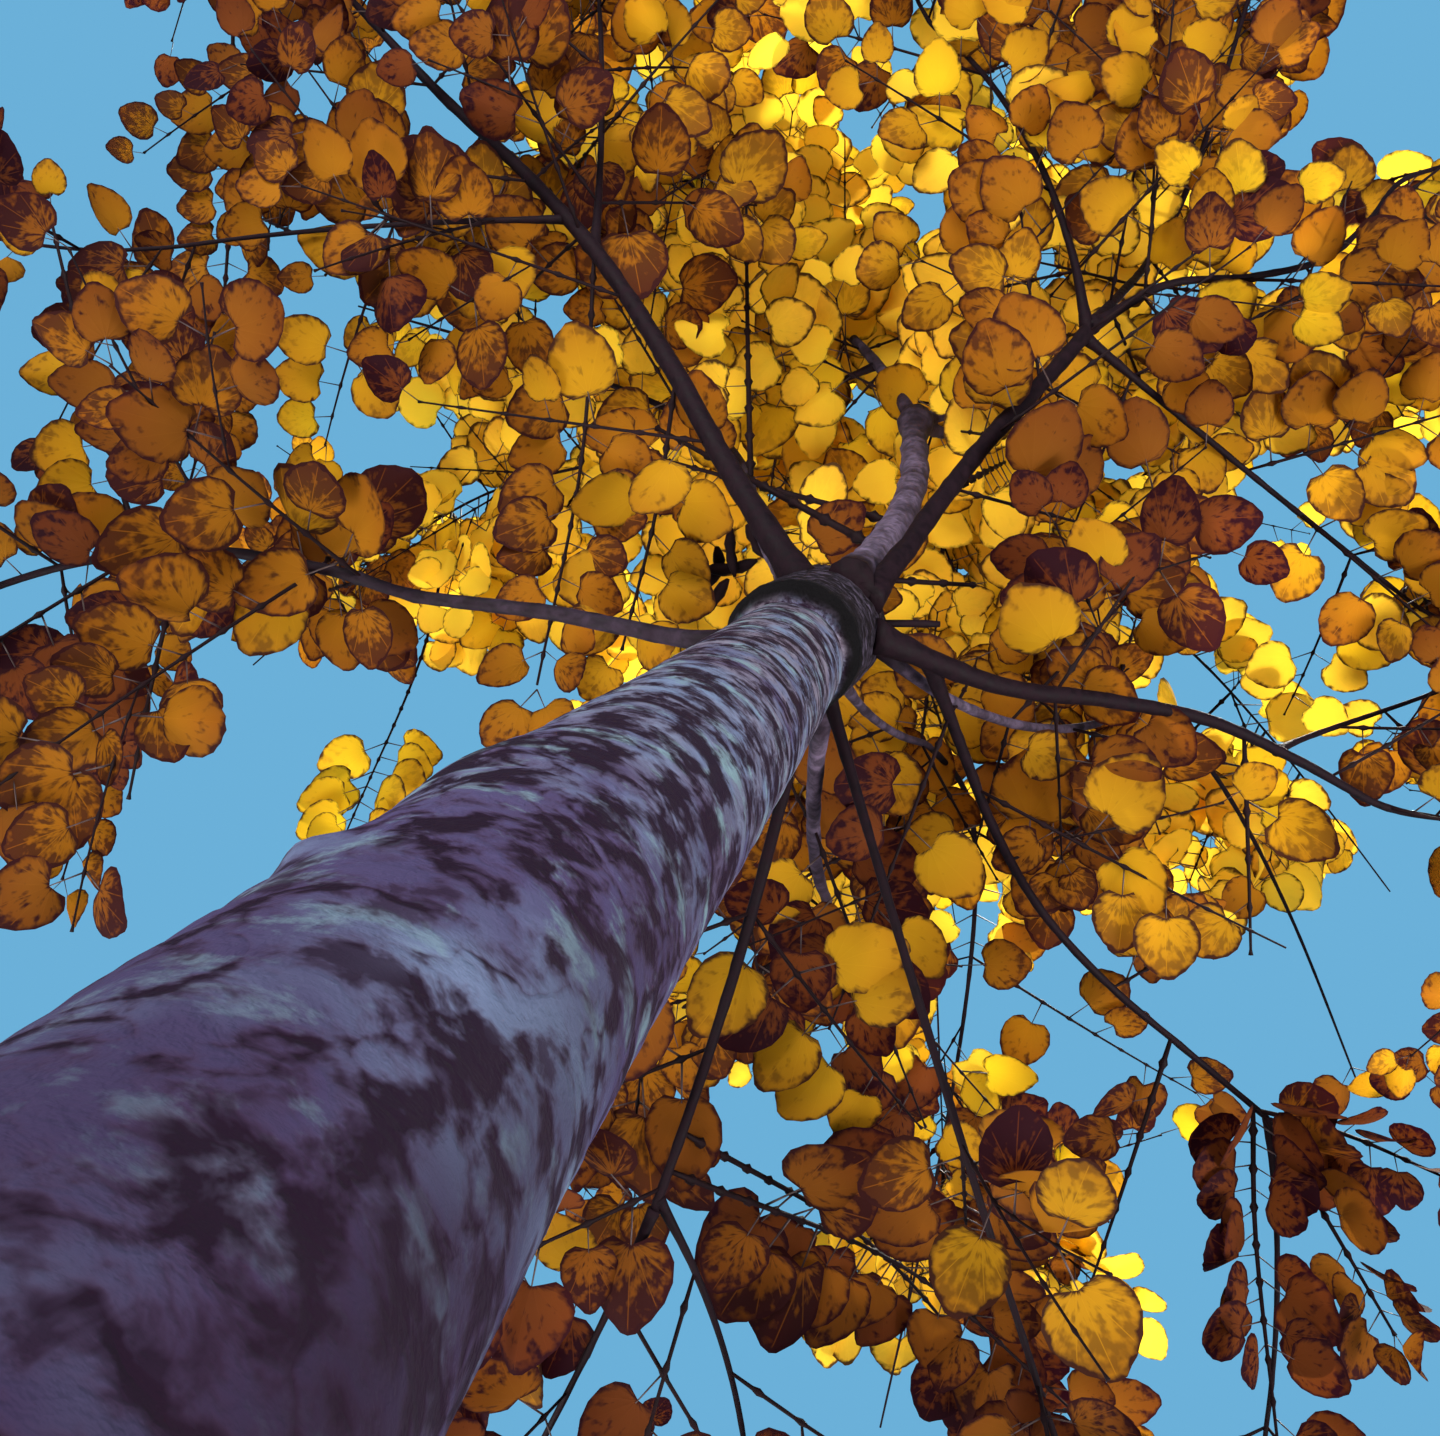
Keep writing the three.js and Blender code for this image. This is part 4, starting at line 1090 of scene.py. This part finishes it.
def bladeMesh(order, shape):
    cup, fold, droop, twist, broad, notch = shape
    m = blade["inner"]
    n = 3 * m
    centre = np.array([0.48, 0.0])
    outer = [bladeOutline(2 * math.pi * i / n, broad, notch) - centre for i in range(n)]
    inner = [bladeOutline(2 * math.pi * i / m, broad, notch) - centre for i in range(m)]
    scallops = 1 + blade["scallop"] * np.where(np.arange(n) % 2, 1, -1)
    flat = centre + np.concatenate([np.array(outer) * scallops[:, None],
                                    np.array(inner) * blade["innerShare"], [[0, 0]]])
    x, y = flat.T
    far = (x - centre[0]) ** 2 + y ** 2
    z = cup * (far * 4 - 0.5) + fold * np.abs(y) * 2 - droop * x * x + twist * x * y * 2
    points = np.stack([blade["stalk"] + x, y, z - blade["sink"]], axis=1)
    faces = []
    for i in range(m):
        a, b, c, d = 3 * i, 3 * i + 1, 3 * i + 2, (3 * i + 3) % n
        p, q = n + i, n + (i + 1) % m
        faces += [(a, b, p), (b, c, p), (c, q, p), (c, d, q), (p, q, n + m)]
    made = meshFrom("bladeShape%d" % order, points, faces, {"rim": np.arange(len(flat)) < n})
    uv = made.data.uv_layers.new(name="OFBake")
    for loop in made.data.loops:
        u, v = flat[loop.vertex_index]
        uv.data[loop.index].uv = ((u * 0.86 + 0.04 + order % 3) / 3, (v * 0.86 + 0.5 + order // 3) / 2)
    return made


def stalkMesh(order, shape):
    reach = blade["stalk"] + blade["notch"] + 0.04
    verts, tris = tube([(0, 0, 0), (reach, 0, -blade["sink"])], blade["stalkRadius"], 3)
    return meshFrom("stalkShape%d" % order, verts, tris)


def shapeCollection(name, maker):
    collection = bpy.data.collections.new(name)
    for order, shape in enumerate(bladeShapes):
        made = maker(order, shape)
        scene.collection.objects.unlink(made)
        collection.objects.link(made)
    return collection


def leafTree():    # points in, blades out: each seat picks a shape, and turns and sizes it
    tree = bpy.data.node_groups.new("leavesOnSeats", "GeometryNodeTree")
    for name, kind in (("Geometry", "Geometry"), ("Shapes", "Collection"), ("Material", "Material"),
                       ("Size", "Float")):
        tree.interface.new_socket(name, in_out="INPUT", socket_type="NodeSocket" + kind)
    tree.interface.new_socket("Geometry", in_out="OUTPUT", socket_type="NodeSocketGeometry")

    def node(kind, inputs=None, **settings):
        return addNode(tree, kind, inputs, **settings).outputs

    def named(attribute, kind):
        return node("GeometryNodeInputNamedAttribute", {"Name": attribute}, data_type=kind)["Attribute"]

    start = node("NodeGroupInput")
    shapes = node("GeometryNodeCollectionInfo", {"Collection": start["Shapes"], "Separate Children": True,
                                                 "Reset Children": True})
    turn = node("FunctionNodeEulerToRotation", {0: named("turn", "FLOAT_VECTOR")})
    size = node("ShaderNodeMath", {0: named("size", "FLOAT"), 1: start["Size"]}, operation="MULTIPLY")
    placed = node("GeometryNodeInstanceOnPoints", {
        "Points": start["Geometry"], "Instance": shapes[0], "Pick Instance": True,
        "Instance Index": named("shape", "INT"), "Rotation": turn[0], "Scale": size[0]})
    real = node("GeometryNodeRealizeInstances", {0: placed[0]})
    painted = node("GeometryNodeSetMaterial", {"Geometry": real[0], "Material": start["Material"]})
    node("NodeGroupOutput", {0: painted[0]})
    return tree


def seatPoints(name, seats, shapeCount):
    mesh = bpy.data.meshes.new(name)
    mesh.from_pydata(np.array([seat["at"] for seat in seats], np.float32) * mm, [], [])
    ways = [(seat["along"], seat["side"]) for seat in seats]
    turns = [Matrix((x, y, np.cross(x, y))).transposed().to_euler() for x, y in ways]
    tones = np.array([seat["tone"] for seat in seats])
    addAttribute(mesh, "turn", turns, "FLOAT_VECTOR")
    addAttribute(mesh, "size", [seat["size"] for seat in seats])
    addAttribute(mesh, "tone", tones)
    addAttribute(mesh, "shape", (tones * 7919).astype(int) % shapeCount, "INT")
    return show(name, mesh)


def growOnSeats(name, seats, tree, shapes, material):
    holder = seatPoints(name + "Seats", seats, len(shapes.objects))
    modifier = holder.modifiers.new("leaves", "NODES")
    modifier.node_group = tree
    inputs = {item.name: item.identifier for item in tree.interface.items_tree if item.in_out == "INPUT"}
    modifier[inputs["Shapes"]] = shapes
    modifier[inputs["Material"]] = material
    modifier[inputs["Size"]] = mm
    mesh = bpy.data.meshes.new_from_object(holder.evaluated_get(bpy.context.evaluated_depsgraph_get()))
    bpy.data.objects.remove(holder)
    mesh.name = name
    return show(name, mesh)


# Partly the leaves' own autumn tints, partly painted light and shade: the higher the sprays, where the sun
# reaches, the yellower their tints; the lower, in the crown's shade, the browner.
spraysByHeight = [    # up to this height, how the tints are dealt out to the sprays
    (2250, {"brown": 0.40, "russet": 0.36, "amber": 0.20, "gold": 0.04}),
    (2500, {"brown": 0.25, "russet": 0.32, "amber": 0.31, "gold": 0.12}),
    (2800, {"brown": 0.09, "russet": 0.20, "amber": 0.42, "gold": 0.29}),
    (3150, {"brown": 0.04, "russet": 0.14, "amber": 0.40, "gold": 0.37, "olive": 0.05}),
    (3450, {"russet": 0.06, "amber": 0.23, "gold": 0.37, "olive": 0.20, "yellow": 0.14}),
    (3800, {"amber": 0.05, "gold": 0.14, "olive": 0.23, "yellow": 0.58}),
    (9999, {"gold": 0.03, "olive": 0.12, "yellow": 0.85}),
]
# Leaves near the axis count as higher, the more so the higher they are, those beyond a radius as lower:
# painted light and shade that make the inner crown yellower and the outer leaves browner.
nearAxis = {"radius": 1080, "rise": (340, 1450), "riseFrom": 2600, "riseOver": 650, "outFrom": 600,
            "outFall": 1.25}
tintSpread = 0.22    # how far the leaves of one spray differ in their draw


def tintOf(seat):
    if seat["spray"] in tints:
        return seat["spray"]
    out = math.hypot(seat["at"][0], seat["at"][1])
    above = min(1, max(0, (seat["height"] - nearAxis["riseFrom"]) / nearAxis["riseOver"]))
    height = (seat["height"] + max(0, 1 - out / nearAxis["radius"]) * between(nearAxis["rise"], above)
              - max(0, out - nearAxis["outFrom"]) * nearAxis["outFall"])
    deal = next(shares for top, shares in spraysByHeight if height < top)
    draw = (seat["spray"] + tintSpread * (seat["tone"] - 0.5)) % 1
    for tint, share in deal.items():
        draw -= share
        if draw < 0:
            return tint
    return tint


# A few dead leaves rolled up beside the head, each from one pixel to another at one height.
withered = {
    "height": 2560, "radius": 7.0, "swell": (0.35, 0.8, 1.0, 0.75, 0.95, 0.7, 0.25), "sides": 7,
    "colour": (0.045, 0.01, 0.026), "edge": (0.075, 0.02, 0.035),
    "rolls": [((731, 528), (735, 577)), ((717, 547), (709, 586)), ((704, 569), (757, 560)),
              ((728, 579), (702, 616)), ((684, 588), (705, 601)), ((747, 524), (765, 558))],
}


def buildWithered():
    dice = random.Random(57)
    tubes = []
    for start, end in withered["rolls"]:
        height = withered["height"] + dice.uniform(-14, 14)
        first = pointAt(*start, height)
        last = pointAt(*end, height + dice.uniform(-12, 12))
        middle = (first + last) / 2 + np.array([dice.uniform(-5, 5) for _ in range(3)])
        path = evenly([first, middle, last], norm(last - first) / 6)
        swell = np.interp(np.linspace(0, len(withered["swell"]) - 1, len(path)),
                          range(len(withered["swell"])), withered["swell"])
        tubes.append(tube(path, swell * withered["radius"] * dice.uniform(0.85, 1.15), withered["sides"]))
    points, faces = joinTubes(tubes)
    points = points + (layeredNoise(points / 5, 91)[:, None] - 0.5) * 5
    made = meshFrom("leaves_withered", points * mm, faces)
    s = Shade("leaf_withered")
    colour = s.mix(s.noise(300, 3), linear(withered["colour"]), linear(withered["edge"]))
    made.data.materials.append(s.finish(colour, 0.8, 0.1))
    return made


def buildLeaves():
    tree = leafTree()
    blades = shapeCollection("bladeShapes", bladeMesh)
    stalks = shapeCollection("stalkShapes", stalkMesh)
    made = {}
    for tint, look in tints.items():
        seats = [s for s in growth.seats if tintOf(s) == tint]
        made[tint] = growOnSeats("leaves_" + tint, seats, tree, blades, leafMaterial("leaf_" + tint, *look))
        print("leaves", tint, len(seats), len(made[tint].data.polygons), "faces")
    made["withered"] = buildWithered()
    made["stalks"] = growOnSeats("leaf_stalks", growth.seats, tree, stalks, stalkMaterial())
    for collection in (blades, stalks):
        for shape in list(collection.objects):
            bpy.data.objects.remove(shape)
        bpy.data.collections.remove(collection)
    return made


leafPieces = buildLeaves()

# The model's parts are hidden, and every piece hangs on the root body.
limbNames = list(limbs)
massNames = list(masses)
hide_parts("trunk")
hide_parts(*[n for n in limbNames if n.startswith("bough")])
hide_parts(*[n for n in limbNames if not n.startswith("bough")])
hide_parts(*massNames)
for tint, piece in leafPieces.items():
    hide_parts(*massNames)
for piece in (trunkPiece, lowerBoughs, upperBoughs, twigs, *leafPieces.values()):
    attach(piece, "root")

# A pale floor, a pale cool backdrop and soft light from high up.
studio = {
    "sky": (0.42, 0.69, 0.85), "skyStrength": 1.0, "floorColour": (0.37, 0.37, 0.39), "floorHalf": 14,
    "sun": {"energy": 8.5, "angle": math.radians(9), "color": (1.0, 0.95, 0.86)}, "sunTurn": (12, 8, 0),
    "fill": {"shape": "DISK", "size": 2.4, "energy": 110, "spread": math.radians(100),
             "color": (1.0, 0.96, 0.94)},
    "fillAzimuths": (-150, -30, 90), "fillRadius": 2.6, "fillHeight": 0.5, "fillAim": 3.0,
}


def addLight(name, kind, settings):
    lamp = bpy.data.lights.new(name, kind)
    for key, value in settings.items():
        setattr(lamp, key, value)
    return show(name, lamp)


def addStudio():
    up = Vector((0, 0, 1))
    scene.world = bpy.data.worlds.new("backdrop")
    scene.world.use_nodes = True
    sky = scene.world.node_tree.nodes["Background"]
    sky.inputs[0].default_value = linear(studio["sky"])
    sky.inputs[1].default_value = studio["skyStrength"]
    light = addLight("highLight", "SUN", studio["sun"])
    light.rotation_euler = [math.radians(a) for a in studio["sunTurn"]]
    for azimuth in studio["fillAzimuths"]:    # spread so that they pass over the floor
        fill = addLight("fillLight", "AREA", studio["fill"])
        fill.location = Vector(heading(azimuth, 0)) * studio["fillRadius"] + up * studio["fillHeight"]
        away = fill.location - up * studio["fillAim"]
        fill.rotation_euler = away.to_track_quat("Z", "Y").to_euler()
        fill.visible_camera = False
    half = studio["floorHalf"]
    floor = meshFrom("floor", [(-half, -half, 0), (half, -half, 0), (half, half, 0), (-half, half, 0)],
                     [(0, 1, 2, 3)], smooth=False)
    floor.data.materials.append(Shade("floorPlain").finish(linear(studio["floorColour"]), 0.9))


addStudio()
scene.view_settings.view_transform = "Standard"
bpy.context.view_layer.update()
